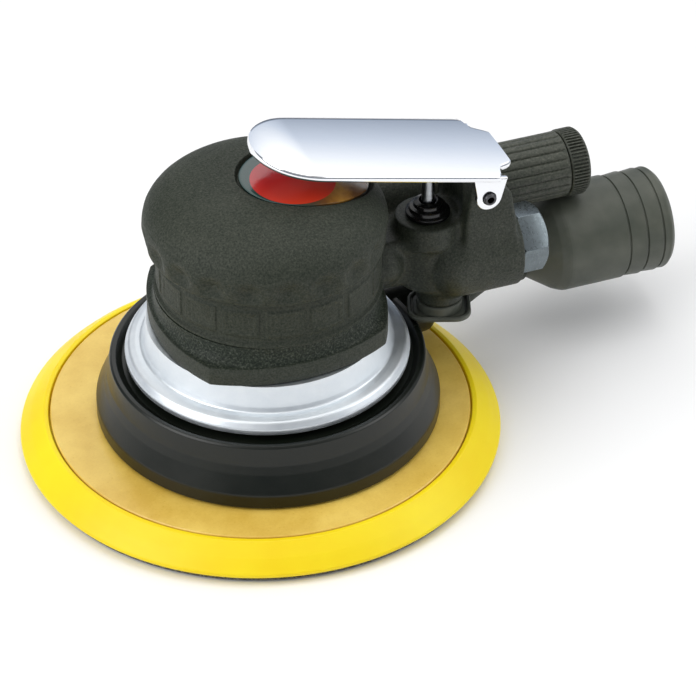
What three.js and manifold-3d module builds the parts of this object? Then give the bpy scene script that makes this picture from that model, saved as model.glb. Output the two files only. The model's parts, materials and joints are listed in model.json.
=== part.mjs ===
// Pneumatic random-orbital sander, 150 mm pad, built as separate named pieces.
// Millimetres, +Z up. The origin is on the motor axis, at the sanding face.
// +X points to the rear, where the air inlet, silencer and dust hose tail are.
import * as THREE from 'three';
import { mergeVertices } from 'three/addons/utils/BufferGeometryUtils.js';
import Module from 'manifold-3d';

const wasm = await Module();
wasm.setup();

// ---------------------------------------------------------------- driving dimensions
const GAP = 0.3; // clearance left between neighbouring pieces
const RING_SIDES = 36; // sides of the large visible rounds
const FINE_SIDES = 24;
const SMALL_SIDES = 14;
const PIN_SIDES = 8;

const ORBIT_RADIUS = 2.5; // half of the 5 mm orbit
const ORBIT_ANGLE = THREE.MathUtils.degToRad(160);
const PAD = { rim: 75, ridge: 67.2, plate: 65.4, height: 10.3, hookRim: 73.4, hookThick: 0.8 };
const DUST_HOLES = { count: 6, circle: 40, radius: 5 };

const SHROUD = { skirt: 53.4, low: 11, top: 30.6, rim: 48.6, wall: 2.4, inner: 40.6 };
const RING = { bead: 43.9, low: 31.2, crease: 38.4, wall: 37, top: 44.2, spigot: 31.8 };
const FLANGE = { round: 35.6, lobe: 5, reach: 39.4, low: 44.5, edge: 50.5, top: 56 };
const CAN = { outer: 31.6, bore: 30, step: 79.8, neck: 24, roof: 84.6 };
const COVER = { low: 56.4, lip: 34.8, neck: 33.9, shift: 0.8, crease: 71.3 };
const LABEL = { centre: 12.6, halfLength: 20.8, halfWidth: 17.6, depth: 1.6, thick: 1.1 };

const VALVE_X = 52.6;
const BOSS = { radius: 10.2, low: 41, top: 68.4, neck: 7.4, neckLow: 36.5 };
const VALVE = { bore: 7, guide: 6, recess: 10.8, throat: 4.5, bleed: 2.5, feed: 3 };
const INLET = { height: 51.3, radius: 13.7, nose: 50.8, end: 80, bore: 9, passage: 5.5 };
const SHOULDER = { radius: 7.7, y: -1, z: 54.6, end: 43.9 };
const HEX = { flats: 19, turn: 48, start: 80.3, end: 89.8, bore: 5.5, spigot: 8.7 };
const PIVOT = { x: 65.9, z: 80.8, radius: 2, halfLength: 17.4 };
const LEVER = { width: 35, sheet: 2, crown: 0.6, rise: 8.8, tip: 73.6, tail: 8.2, slope: 13.6 };
const EAR = { round: 4.1, front: 7.2, outer: 16.5 };
const REGULATOR = {
  x: 57, halfLength: 9.9, halfWidth: 8, corner: 5, turn: -20, low: 31.1, top: 33.1, neck: 7.2, plug: 5.6,
};
const SILENCER = {
  y: 24.4, z: 58.2, radius: 10.6, capRadius: 10.9, spigot: 7.6, start: 76, cap: 108, end: 114.8,
  flutes: 16,
};
const HOSE = {
  y: 23.9, z: 29.6, radius: 17, start: 94, cavity: 101.8, full: 104.6, end: 142.7, bore: 13.8,
};
const DUCT = {
  collar: 10, spigot: 7.9, bore: 6.2, body: 9.6, flange: 10.8, flangeEnd: 93.6, nose: 8.1,
  noseEnd: 104.4,
};

const LINER = { outer: 29.6, bore: 25.5, offset: 2, low: 55.5, top: 74.5 };
const DOWEL = { x: -27.6, radius: 1.1 };
const ROTOR = { radius: 23, slots: 5, slotWidth: 2.4, slotDepth: 9 };
const SHAFT = { journal: 8, rotor: 6, top: 84 };

// ---------------------------------------------------------------- materials
function material(color, roughness, metalness) {
  return new THREE.MeshStandardMaterial({ color, roughness, metalness });
}

const gripRubber = material(0x46443f, 0.85, 0);
const housingPlastic = material(0x3d3b37, 0.7, 0);
const blackRubber = material(0x1c1d1e, 0.5, 0);
const aluminium = material(0xc2cbd4, 0.35, 1);
const chrome = material(0xdde3ea, 0.12, 1);
const steel = material(0x8d9297, 0.35, 1);
const brass = material(0xb5954b, 0.35, 1);
const foamYellow = material(0xffe100, 0.45, 0);
const plateTan = material(0xe0bc66, 0.5, 0);
const hookGrey = material(0x8a8a86, 0.95, 0);
const labelGreen = material(0x1d3a34, 0.4, 0);
const feltGrey = material(0xa9a79e, 0.95, 0);
const vaneBrown = material(0x6b4a2c, 0.6, 0);

// ---------------------------------------------------------------- solids
function toSolid(geometry) {
  const bare = geometry.clone();
  bare.deleteAttribute('normal');
  bare.deleteAttribute('uv');
  const merged = mergeVertices(bare, 1e-3);
  const vertProperties = new Float32Array(merged.attributes.position.array);
  const triVerts = dropSlivers(merged.index.array);
  if (signedVolume(vertProperties, triVerts) < 0) triVerts.reverse();
  return new wasm.Manifold(new wasm.Mesh({ numProp: 3, vertProperties, triVerts }));
}

function dropSlivers(index) {
  const kept = [];
  for (let i = 0; i < index.length; i += 3) {
    const [a, b, c] = [index[i], index[i + 1], index[i + 2]];
    if (a !== b && b !== c && c !== a) kept.push(a, b, c);
  }
  return new Uint32Array(kept);
}

function signedVolume(points, index) {
  const corner = [new THREE.Vector3(), new THREE.Vector3(), new THREE.Vector3()];
  let sum = 0;
  for (let i = 0; i < index.length; i += 3) {
    corner.forEach((v, k) => v.fromArray(points, index[i + k] * 3));
    sum += corner[0].dot(corner[1].clone().cross(corner[2]));
  }
  return sum;
}

function toGeometry(solid) {
  const mesh = solid.getMesh();
  const geometry = new THREE.BufferGeometry();
  geometry.setAttribute('position', new THREE.BufferAttribute(mesh.vertProperties, 3));
  geometry.setIndex(new THREE.BufferAttribute(mesh.triVerts, 1));
  geometry.computeVertexNormals();
  return geometry;
}

const join = (first, ...rest) => rest.reduce((sum, solid) => sum.add(solid), first);
const cut = (first, ...rest) => rest.reduce((left, solid) => left.subtract(solid), first);

function revolve(profile, sides) {
  const points = profile.map(([r, z]) => new THREE.Vector2(r, z));
  return toSolid(new THREE.LatheGeometry(points, sides).rotateX(Math.PI / 2));
}

function rod(radius, low, high, sides = SMALL_SIDES, x = 0, y = 0) {
  const geometry = new THREE.CylinderGeometry(radius, radius, high - low, sides);
  return toSolid(geometry.rotateX(Math.PI / 2).translate(x, y, (low + high) / 2));
}

function tube(inner, outer, low, high, sides = SMALL_SIDES) {
  return revolve([[inner, low], [outer, low], [outer, high], [inner, high], [inner, low]], sides);
}

function rodX(radius, from, to, y, z, sides = SMALL_SIDES) {
  const geometry = new THREE.CylinderGeometry(radius, radius, to - from, sides);
  return toSolid(geometry.rotateZ(-Math.PI / 2).translate((from + to) / 2, y, z));
}

function rodY(radius, half, x, z, sides = SMALL_SIDES) {
  const geometry = new THREE.CylinderGeometry(radius, radius, 2 * half, sides);
  return toSolid(geometry.translate(x, 0, z));
}

// A profile of (radius, distance along X), revolved about an X axis through y, z.
function revolveX(profile, sides, y, z) {
  const points = profile.map(([r, x]) => new THREE.Vector2(r, x));
  const geometry = new THREE.LatheGeometry(points, sides).rotateZ(-Math.PI / 2);
  return toSolid(geometry.translate(0, y, z));
}

function block([x0, x1], [y0, y1], [z0, z1]) {
  const geometry = new THREE.BoxGeometry(x1 - x0, y1 - y0, z1 - z0);
  return toSolid(geometry.translate((x0 + x1) / 2, (y0 + y1) / 2, (z0 + z1) / 2));
}

function extrude(shape, low, high, curveSegments = 8) {
  const options = { depth: high - low, bevelEnabled: false, curveSegments };
  return toSolid(new THREE.ExtrudeGeometry(shape, options).translate(0, 0, low));
}

function pipe(curve, radius, sides, steps) {
  const shape = new THREE.Shape().absarc(0, 0, radius, 0, 2 * Math.PI);
  const options = { steps, bevelEnabled: false, extrudePath: curve, curveSegments: sides / 2 };
  return toSolid(new THREE.ExtrudeGeometry(shape, options));
}

// ---------------------------------------------------------------- scene graph
const sander = new THREE.Group();

function add(name, solid, look, parent = sander) {
  const mesh = new THREE.Mesh(toGeometry(solid), look);
  mesh.name = name;
  parent.add(mesh);
}

// ---------------------------------------------------------------- pad, turning on the spindle
function dustHoles(low, high) {
  const holes = [];
  for (let i = 0; i < DUST_HOLES.count; i += 1) {
    const angle = (i * 2 * Math.PI) / DUST_HOLES.count;
    const [x, y] = [Math.cos(angle), Math.sin(angle)].map((v) => v * DUST_HOLES.circle);
    holes.push(rod(DUST_HOLES.radius, low, high, PIN_SIDES, x, y));
  }
  return holes;
}

function buildPad() {
  const pad = new THREE.Group();
  pad.position.set(Math.cos(ORBIT_ANGLE) * ORBIT_RADIUS, Math.sin(ORBIT_ANGLE) * ORBIT_RADIUS, 0);
  sander.add(pad);

  const foamLow = PAD.hookThick + GAP;
  const plateLow = 8.2;
  const flangeLow = 5;
  const stud = 3.95;
  const hooks = rod(PAD.hookRim, 0, PAD.hookThick, RING_SIDES);
  add('hook_face', cut(hooks, ...dustHoles(-1, 2)), hookGrey, pad);

  const foam = revolve([
    [0, foamLow], [73.4, foamLow], [PAD.rim, 2.6], [PAD.rim, 3.2], [PAD.ridge, PAD.height],
    [PAD.plate + GAP, PAD.height], [PAD.plate + GAP, plateLow - GAP], [0, plateLow - GAP],
  ], RING_SIDES);
  add('pad_foam', cut(foam, rod(15, flangeLow - GAP, 9), ...dustHoles(0, 9)), foamYellow, pad);

  const plate = rod(PAD.plate, plateLow, PAD.height, RING_SIDES);
  add('pad_backing_plate', cut(plate, rod(stud + GAP, 7, 11), ...dustHoles(7, 11)), plateTan, pad);

  const studSolid = join(rod(14.6, flangeLow, plateLow - GAP), rod(stud, flangeLow, 26));
  add('pad_stud', studSolid, steel, pad);

  const spindle = revolve([
    [stud + GAP, PAD.height + GAP], [10.5, PAD.height + GAP], [10.5, 15.2], [6, 15.2], [6, 32],
    [2.5, 32], [2.5, 27], [stud + GAP, 27], [stud + GAP, PAD.height + GAP],
  ], SMALL_SIDES);
  add('spindle', spindle, steel, pad);
  add('spindle_bearing_inner', tube(6.3, 8.6, 18, 31.5), steel, pad);
  add('spindle_screw', join(rod(7.3, 32.3, 35), rod(2.2, 28.5, 33)), steel, pad);
  add('spindle_bearing_balls', ballCage(9.9, 24.7, 1, 7), steel, pad);
  add('spindle_bearing_outer', tube(11.2, 14, 18, 31.5), steel, pad);
  add('spindle_circlip', tube(11.8, 14, 16.2, 17.6), steel, pad);
}

// A ring of balls held by a thin cage band, as one solid.
function ballCage(circle, z, ball, count) {
  const cage = tube(circle - 0.35, circle + 0.35, z - ball * 0.7, z + ball * 0.7, PIN_SIDES);
  const balls = [];
  for (let i = 0; i < count; i += 1) {
    const angle = (i * 2 * Math.PI) / count;
    const geometry = new THREE.OctahedronGeometry(ball);
    balls.push(toSolid(geometry.translate(circle * Math.cos(angle), circle * Math.sin(angle), z)));
  }
  return join(cage, ...balls);
}

// ---------------------------------------------------------------- rotor and eccentric shaft
function buildMotor() {
  const hubLow = 15.6;
  const hubTop = 38.5;
  const ex = Math.cos(ORBIT_ANGLE) * ORBIT_RADIUS;
  const ey = Math.sin(ORBIT_ANGLE) * ORBIT_RADIUS;
  const hub = join(
    rod(20.5, hubLow, hubTop, FINE_SIDES),
    rod(SHAFT.journal, hubTop - 1, LINER.low - GAP),
    rod(SHAFT.rotor, LINER.low - 1, SHAFT.top),
    counterweight(hubLow + 1, 23),
  );
  const pocket = rod(14.3, hubLow - 1, 32.2, FINE_SIDES, ex, ey);
  const screwRoom = rod(8.2, 32, 35.6, SMALL_SIDES, ex, ey);
  const keyway = block([SHAFT.rotor - 1.6, 8], [-1.3, 1.3], [60, 70]);
  add('eccentric_shaft', cut(hub, pocket, screwRoom, keyway), steel);

  const rotorBody = rod(ROTOR.radius, LINER.low + GAP, LINER.top - GAP, FINE_SIDES);
  const bore = rod(SHAFT.rotor + GAP, 50, 80);
  const rotorKeyway = block([SHAFT.rotor - 2, SHAFT.rotor + 2.2], [-1.3, 1.3], [50, 80]);
  const slots = vaneShapes(ROTOR.slotWidth, 0, 50, 80, 3);
  add('rotor', cut(rotorBody, bore, rotorKeyway, ...slots), steel);
  add('rotor_key', block([SHAFT.rotor - 1.3, SHAFT.rotor + 1.9], [-1, 1], [60.3, 69.7]), steel);

  const vanes = vaneShapes(ROTOR.slotWidth - 2 * GAP, 0.4, LINER.low + 2 * GAP, LINER.top - 2 * GAP, -0.2);
  vanes.forEach((vane, i) => add(`vane_${i + 1}`, vane, vaneBrown));
  add('lower_bearing_inner', tube(8.3, 10.8, 46.2, 52.2), steel);
  add('upper_bearing_inner', tube(6.3, 8.3, 77.2, 83.2), steel);
}

// The lobe that balances the pad, on the side away from the eccentric bore.
function counterweight(low, high) {
  const reach = 35;
  const spread = THREE.MathUtils.degToRad(62);
  const middle = ORBIT_ANGLE + Math.PI;
  const shape = new THREE.Shape();
  shape.moveTo(0, 0);
  shape.absarc(0, 0, reach, middle - spread, middle + spread, false);
  shape.closePath();
  return extrude(shape, low, high, 12);
}

function vaneShapes(width, bottomGap, low, high, outward) {
  const inner = ROTOR.radius - ROTOR.slotDepth + bottomGap;
  const vanes = [];
  for (let i = 0; i < ROTOR.slots; i += 1) {
    const radii = [inner, ROTOR.radius + outward];
    const vane = block(radii, [-width / 2, width / 2], [low, high]);
    vanes.push(vane.rotate([0, 0, 36 + (i * 360) / ROTOR.slots]));
  }
  return vanes;
}

// ---------------------------------------------------------------- fixed motor pieces
function buildStator() {
  const boreShape = rod(LINER.bore, 50, 80, FINE_SIDES, 0, LINER.offset);
  const liner = rod(LINER.outer, LINER.low, LINER.top, FINE_SIDES);
  const inletSlot = block([20, 32], [-7, 7], [57, 60.5]);
  const exhaustPort = rodX(3.4, 10, 32, 15, 64, PIN_SIDES);
  const dowelHole = rod(DOWEL.radius + GAP, 53.2, 77.3, PIN_SIDES, DOWEL.x);
  add('cylinder_liner', cut(liner, boreShape, inletSlot, exhaustPort, dowelHole), steel);
  add('dowel_pin', rod(DOWEL.radius, 53.5, 77, PIN_SIDES, DOWEL.x), steel);

  const lower = revolve([
    [SHAFT.journal + 0.6, 52.6], [17, 52.6], [17, 45.5], [29.2, 45.5], [29.2, LINER.low - GAP],
    [SHAFT.journal + 0.6, LINER.low - GAP], [SHAFT.journal + 0.6, 52.6],
  ], FINE_SIDES);
  add('lower_end_plate', cut(lower, dowelHole), aluminium);
  const upper = revolve([
    [SHAFT.rotor + 0.6, LINER.top + GAP], [29.4, LINER.top + GAP], [29.4, 79.4], [23.4, 79.4],
    [23.4, 84], [13.4, 84], [13.4, 76.9], [SHAFT.rotor + 0.6, 76.9],
    [SHAFT.rotor + 0.6, LINER.top + GAP],
  ], FINE_SIDES);
  add('upper_end_plate', cut(upper, dowelHole), aluminium);
  add('lower_bearing_outer', tube(14, 16.7, 46.2, 52.2), steel);
  add('upper_bearing_outer', tube(11, 13.1, 77.2, 83.2), steel);
  add('lower_bearing_balls', ballCage(12.4, 49.2, 1.3, 7), steel);
  add('upper_bearing_balls', ballCage(9.65, 80.2, 1.1, 7), steel);

  const ringProfile = [
    [41.2, RING.low], [RING.bead - 0.4, RING.low], [RING.bead, 31.8], [RING.bead, 33], [43, 34.5],
    [41.2, 35.6], [RING.crease, 36], [RING.wall, 37], [RING.wall, RING.top],
    [RING.spigot, RING.top], [RING.spigot, 51.5], [29.6, 51.5], [29.6, 45.2], [18.5, 45.2],
    [18.5, 42.2], [33.5, 42.2], [35, 38.4], [38.2, 34.2], [41.2, 32.4], [41.2, RING.low],
  ];
  add('lock_ring', revolve(ringProfile, RING_SIDES), aluminium);
}

// ---------------------------------------------------------------- shroud and dust path
const portStart = new THREE.Vector3(43, 15.2, 21.6);
const portEnd = new THREE.Vector3(57.5, 17.6, 22.4);
const beyondPort = portStart.clone().lerp(portEnd, 1.2);

function straight(from, to, radius, sides) {
  return pipe(new THREE.LineCurve3(from, to), radius, sides, 1);
}

function buildDustPath() {
  const { skirt, low, top, rim, wall, inner } = SHROUD;
  const outline = [
    [skirt - wall, low], [skirt, low], [skirt, 15.5], [52.6, 18.6], [50.6, 21.6], [49.8, 24],
    [rim, top - 1], [rim - 0.6, top], [45.4, top - 0.2], [44.8, top - 1.6], [inner, top - 1.6],
    [inner, top - 3.6], [rim - wall, top - 3.6], [47.2, 22.6], [50.2, 17.4],
    [skirt - wall, 15], [skirt - wall, low],
  ];
  const hollow = revolve([
    [0, low - 1], [50.6, low - 1], [50.6, 15], [46, 22.6], [46, 26.8], [0, 26.8],
  ], FINE_SIDES);
  const collar = cut(straight(portStart, portEnd, DUCT.collar, FINE_SIDES), hollow);
  const portBore = straight(portStart, beyondPort, DUCT.spigot + GAP, FINE_SIDES);
  add('shroud', cut(join(revolve(outline, RING_SIDES), collar), portBore), blackRubber);

  const path = new THREE.CatmullRomCurve3([
    new THREE.Vector3(60.2, 18.1, 23.2), new THREE.Vector3(67, 19.2, 25),
    new THREE.Vector3(76, 21.6, 28), new THREE.Vector3(85, HOSE.y, HOSE.z),
    new THREE.Vector3(92, HOSE.y, HOSE.z),
  ]);
  const whole = new THREE.CatmullRomCurve3([
    portStart.clone().lerp(portEnd, 0.25), portEnd.clone(), ...path.points.slice(1, 4),
    new THREE.Vector3(DUCT.noseEnd + 2, HOSE.y, HOSE.z),
  ]);
  const duct = join(
    pipe(path, DUCT.body, 20, 8),
    straight(portStart.clone().lerp(portEnd, 0.3), beyondPort, DUCT.spigot, 20),
    revolveX([
      [0, 87], [DUCT.flange, 90], [DUCT.flange, DUCT.flangeEnd], [DUCT.nose, DUCT.flangeEnd],
      [DUCT.nose, 96.4], [7.1, 96.4], [7.1, 98.4], [DUCT.nose, 98.4], [DUCT.nose, DUCT.noseEnd],
      [0, DUCT.noseEnd],
    ], FINE_SIDES, HOSE.y, HOSE.z),
  );
  add('vacuum_duct', cut(duct, pipe(whole, DUCT.bore, 12, 10)), housingPlastic);
  add('swivel_o_ring', ringX(7.4, 8.2, 96.7, 98.1, HOSE.y, HOSE.z), blackRubber);
  add('swivel_ring', ringX(8.4, 10.6, 102.1, 103.7, HOSE.y, HOSE.z), steel);

  const r = HOSE.radius;
  const tail = [
    [8.5, HOSE.start], [9.6, HOSE.start], [r - 0.8, HOSE.full - 1.2], [r, HOSE.full + 2],
    [r, HOSE.end - 1.6], [r - 1.4, HOSE.end], [HOSE.bore, HOSE.end],
    [HOSE.bore, HOSE.cavity + 2.4], [11.8, HOSE.cavity], [8.5, HOSE.cavity], [8.5, HOSE.start],
  ];
  add('hose_tail', revolveX(tail, FINE_SIDES, HOSE.y, HOSE.z), housingPlastic);
}

function ringX(inner, outer, from, to, y, z) {
  const profile = [[inner, from], [outer, from], [outer, to], [inner, to], [inner, from]];
  return revolveX(profile, SMALL_SIDES, y, z);
}

// ---------------------------------------------------------------- housing
// A disc with four small rounded corners, joined to it by tangent lines.
function flangeOutline() {
  const shape = new THREE.Shape();
  const centre = FLANGE.reach - FLANGE.lobe;
  const turn = Math.acos((FLANGE.round - FLANGE.lobe) / centre);
  for (let i = 0; i < 4; i += 1) {
    const middle = Math.PI / 4 + (i * Math.PI) / 2;
    const [x, y] = [Math.cos(middle) * centre, Math.sin(middle) * centre];
    shape.absarc(x, y, FLANGE.lobe, middle - turn, middle + turn);
    shape.absarc(0, 0, FLANGE.round, middle + turn, middle + Math.PI / 2 - turn);
  }
  shape.closePath();
  return shape;
}

function buildHousing() {
  const can = revolve([
    [0, FLANGE.low], [CAN.outer, FLANGE.low], [CAN.outer, 80.8], [25.8, 85.8],
    [20, 88.6], [0, 89.6],
  ], RING_SIDES);
  const shelf = revolve([
    [0, FLANGE.edge - 1], [FLANGE.round, FLANGE.edge - 1], [35, 53], [34, FLANGE.top],
    [0, FLANGE.top],
  ], RING_SIDES);
  const flange = extrude(flangeOutline(), FLANGE.low, FLANGE.edge, 5);
  const boss = rod(BOSS.radius, BOSS.low, BOSS.top, FINE_SIDES, VALVE_X);
  const neck = rod(BOSS.neck, BOSS.neckLow, BOSS.low + 6, FINE_SIDES, REGULATOR.x);
  const web = block([28, VALVE_X], [-4.8, 10.5], [46, 63]);
  const shoulder = revolveX([
    [0, 28], [SHOULDER.radius, 28], [SHOULDER.radius, 36.2], [6.7, 40], [4.3, 42.6],
    [0, SHOULDER.end],
  ], FINE_SIDES, SHOULDER.y, SHOULDER.z);
  const inlet = revolveX([
    [0, INLET.nose], [8, 52.2], [12, 55.2], [INLET.radius, 59.3], [INLET.radius, INLET.end],
    [0, INLET.end],
  ], FINE_SIDES, 0, INLET.height);
  const exhaust = rodX(11, 22, SILENCER.start - GAP, SILENCER.y, SILENCER.z, FINE_SIDES);
  const bridge = block([40, 70], [0, 24], [50, 60]);
  const lug = hingeLug();

  const openings = [
    rod(CAN.bore, 52, CAN.step, RING_SIDES), // motor chamber
    rod(CAN.neck, 70, CAN.roof, FINE_SIDES), // upper bearing pocket
    rod(RING.spigot + GAP, FLANGE.low - 1, 52.1, RING_SIDES), // seat of the lock ring
    rod(VALVE.guide, 60, BOSS.top + 1, SMALL_SIDES, VALVE_X), // seat of the stem guide
    rod(VALVE.recess, BOSS.top, 76, SMALL_SIDES, VALVE_X), // room round the guide's flange
    rod(VALVE.throat, 55, 61, SMALL_SIDES, VALVE_X),
    rod(VALVE.bore, 44.4, 56, SMALL_SIDES, VALVE_X), // valve chamber
    rod(VALVE.bleed, 42, 46, PIN_SIDES, REGULATOR.x - 2), // passage to the speed regulator
    rod(REGULATOR.plug + GAP, BOSS.neckLow - 1, 42.5, SMALL_SIDES, REGULATOR.x),
    rodX(INLET.passage, VALVE_X, 75, 0, INLET.height), // air to the valve chamber
    rodX(INLET.bore, 68.5, INLET.end + 1, 0, INLET.height), // seat of the bushing
    rodX(VALVE.feed, 25, VALVE_X, 0, 58, PIN_SIDES), // air from the valve to the motor
    rodX(SILENCER.spigot + 2 * GAP, 14, SILENCER.start, SILENCER.y, SILENCER.z), // exhaust
    rodY(PIVOT.radius + GAP, 20, PIVOT.x, PIVOT.z, FINE_SIDES), // lever pin
  ];
  const solid = join(can, shelf, flange, boss, neck, web, shoulder, inlet, exhaust, bridge, lug);
  add('motor_housing', cut(solid, ...openings), housingPlastic);
}

// The upright between the lever's ears, seen from the side and extruded across Y.
function hingeLug() {
  const half = 12;
  const shape = new THREE.Shape();
  shape.moveTo(60.5, 55);
  shape.lineTo(60.5, 70);
  shape.lineTo(62.2, 78);
  shape.absarc(PIVOT.x, PIVOT.z, 4, Math.PI * 0.9, Math.PI * 0.3, true);
  shape.lineTo(72.6, 80);
  shape.lineTo(75.6, 77);
  shape.lineTo(77.5, 66);
  shape.lineTo(77.5, 55);
  shape.closePath();
  const options = { depth: 2 * half, bevelEnabled: false, curveSegments: 8 };
  const geometry = new THREE.ExtrudeGeometry(shape, options).rotateX(Math.PI / 2);
  return toSolid(geometry.translate(0, half, 0));
}

// ---------------------------------------------------------------- rubber grip cover and label
// The domed head, lowered or narrowed by an inset.
function coverSkin(inset) {
  return revolve([
    [0, COVER.crease], [COVER.neck - inset, COVER.crease], [36.3 - inset, 74],
    [36.8 - inset, 79], [36.5 - inset, 82.8], [34.6 - inset * 0.9, 85.9 - inset * 0.5],
    [31.5 - inset * 0.65, 88.6 - inset * 0.75], [27 - inset * 0.4, 90.9 - inset * 0.9],
    [21 - inset * 0.2, 92.8 - inset], [14, 93.7 - inset], [0, 94.2 - inset],
  ], RING_SIDES);
}

function labelOutline(inset) {
  const shape = new THREE.Shape();
  const [long, wide] = [LABEL.halfLength - inset, LABEL.halfWidth - inset];
  shape.absellipse(LABEL.centre, 0, long, wide, 0, 2 * Math.PI);
  return shape;
}

function buildCover() {
  const cavity = revolve([
    [0, COVER.low - 1], [CAN.outer + GAP, COVER.low - 1], [CAN.outer + GAP, 81],
    [26, 86.2], [20.1, 88.9], [0, 89.9],
  ], RING_SIDES);
  const neck = revolve([
    [0, COVER.low], [COVER.lip, COVER.low], [COVER.lip, 57.4], [COVER.neck, 57.9],
    [COVER.neck, COVER.crease + 1], [0, COVER.crease + 1],
  ], RING_SIDES).translate([COVER.shift, 0, 0]);
  const recess = cut(extrude(labelOutline(0), 80, 96), coverSkin(LABEL.depth));
  const rearOpening = block([20, 60], [-14, 38], [COVER.low - 1, 71]);
  add('grip_cover', cut(join(coverSkin(0), neck), cavity, recess, rearOpening), gripRubber);
  const plate = extrude(labelOutline(0.4), 80, 96).intersect(coverSkin(0.2));
  add('label_plate', cut(plate, coverSkin(0.2 + LABEL.thick)), labelGreen);
}

// ---------------------------------------------------------------- throttle valve
function buildValve() {
  const guide = revolve([
    [2.5, 61], [5.7, 61], [5.7, 68.7], [6.9, 68.7], [6.9, 69.8], [5.8, 70.4], [5.8, 71.4],
    [4.4, 71.8], [4.4, 72.8], [2.5, 73.6], [2.5, 61],
  ], SMALL_SIDES);
  const place = new THREE.Group();
  place.position.x = VALVE_X;
  sander.add(place);
  add('stem_guide', guide, blackRubber, place);
  add('valve_seat', tube(3.6, 6.7, 53.3, 55.6), blackRubber, place);
  const stem = revolve([
    [0, 46.4], [1.7, 46.4], [1.7, 50.4], [5.4, 50.4], [5.4, 53], [2.1, 53], [2.1, 89.2],
    [1.4, 90.2], [0, 90.2],
  ], SMALL_SIDES);
  add('valve_stem', stem, steel, place);
  add('valve_spring', spring(4, 0.55, 45.3, 49.4, 3), steel, place);

  const bushing = cut(
    join(hexPrism(), rodX(HEX.spigot, 70.6, HEX.start + 1, 0, INLET.height)),
    rodX(HEX.bore, 60, 100, 0, INLET.height),
  );
  add('inlet_bushing', bushing, steel);
  add('inlet_screen', screen(), brass);
  add('lever_pin', rodY(PIVOT.radius, PIVOT.halfLength, PIVOT.x, PIVOT.z, FINE_SIDES), steel);

  add('speed_regulator', regulator(), housingPlastic);
}

// The plug that throttles the air, with its thumb plate below the housing's neck.
function regulator() {
  const { x, low, top, neck, plug, turn } = REGULATOR;
  const plate = extrude(thumbPlate(), low, top, 4).rotate([0, 0, turn]).translate([x, 0, 0]);
  const collar = rod(neck, top - 0.5, BOSS.neckLow - GAP, FINE_SIDES, x);
  const stopper = rod(plug, 36, 42.2, SMALL_SIDES, x);
  const slot = block([x - 1.6, x + 7], [-1.6, 1.6], [38.5, 43]);
  return cut(join(plate, collar, stopper), slot);
}

function thumbPlate() {
  const { halfLength, halfWidth, corner } = REGULATOR;
  const [x, y] = [halfLength - corner, halfWidth - corner];
  const shape = new THREE.Shape();
  shape.absarc(x, y, corner, 0, Math.PI / 2);
  shape.absarc(-x, y, corner, Math.PI / 2, Math.PI);
  shape.absarc(-x, -y, corner, Math.PI, 1.5 * Math.PI);
  shape.absarc(x, -y, corner, 1.5 * Math.PI, 2 * Math.PI);
  shape.closePath();
  return shape;
}

function hexPrism() {
  const shape = new THREE.Shape();
  const across = HEX.flats / Math.sqrt(3);
  for (let i = 0; i < 6; i += 1) {
    const angle = THREE.MathUtils.degToRad(HEX.turn + 30 + i * 60);
    const corner = [across * Math.cos(angle), across * Math.sin(angle)];
    if (i === 0) shape.moveTo(...corner);
    else shape.lineTo(...corner);
  }
  shape.closePath();
  const options = { depth: HEX.end - HEX.start, bevelEnabled: false };
  const geometry = new THREE.ExtrudeGeometry(shape, options).rotateY(Math.PI / 2);
  return toSolid(geometry.translate(HEX.start, 0, INLET.height));
}

function screen() {
  const disc = rodX(8.6, 68.9, 70.2, 0, INLET.height);
  const holes = [rodX(1.3, 68, 71, 0, INLET.height, 8)];
  for (let i = 0; i < 6; i += 1) {
    const angle = (i * Math.PI) / 3;
    const [y, z] = [Math.cos(angle) * 4.2, INLET.height + Math.sin(angle) * 4.2];
    holes.push(rodX(1.3, 68, 71, y, z, 8));
  }
  return cut(disc, ...holes);
}

class Helix extends THREE.Curve {
  constructor(radius, low, high, turns) {
    super();
    Object.assign(this, { radius, low, high, turns });
  }

  getPoint(t) {
    const angle = 2 * Math.PI * this.turns * t;
    const z = this.low + (this.high - this.low) * t;
    return new THREE.Vector3(this.radius * Math.cos(angle), this.radius * Math.sin(angle), z);
  }
}

function spring(radius, wire, low, high, turns) {
  return pipe(new Helix(radius, low, high, turns), wire, 6, turns * 10);
}

// ---------------------------------------------------------------- lever
function buildLever() {
  const lever = new THREE.Group();
  lever.position.set(PIVOT.x, 0, PIVOT.z);
  lever.rotation.y = THREE.MathUtils.degToRad(LEVER.slope);
  sander.add(lever);

  const plate = crownedSheet().intersect(extrude(leverOutline(), -5, 15, 10));
  const ears = [-1, 1].map((side) => ear(side));
  const pinHole = rodY(PIVOT.radius + GAP, 20, 0, 0, FINE_SIDES);
  add('throttle_lever', cut(join(plate, ...ears), pinHole), chrome, lever);
}

// Cross-section of the sheet: crowned across Y, extruded along X.
function crownedSheet() {
  const half = LEVER.width / 2;
  const steps = 8;
  const height = (y) => LEVER.rise - LEVER.crown * (y / half) ** 2;
  const shape = new THREE.Shape();
  const ys = Array.from({ length: steps + 1 }, (_, i) => -half + (i * LEVER.width) / steps);
  shape.moveTo(ys[0], height(ys[0]));
  ys.slice(1).forEach((y) => shape.lineTo(y, height(y)));
  ys.reverse().forEach((y) => shape.lineTo(y, height(y) - LEVER.sheet));
  shape.closePath();
  const length = LEVER.tip + LEVER.tail + 4;
  const geometry = new THREE.ExtrudeGeometry(shape, { depth: length, bevelEnabled: false });
  geometry.rotateX(Math.PI / 2).rotateZ(Math.PI / 2);
  return toSolid(geometry.translate(-LEVER.tip - 2, 0, 0));
}

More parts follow.
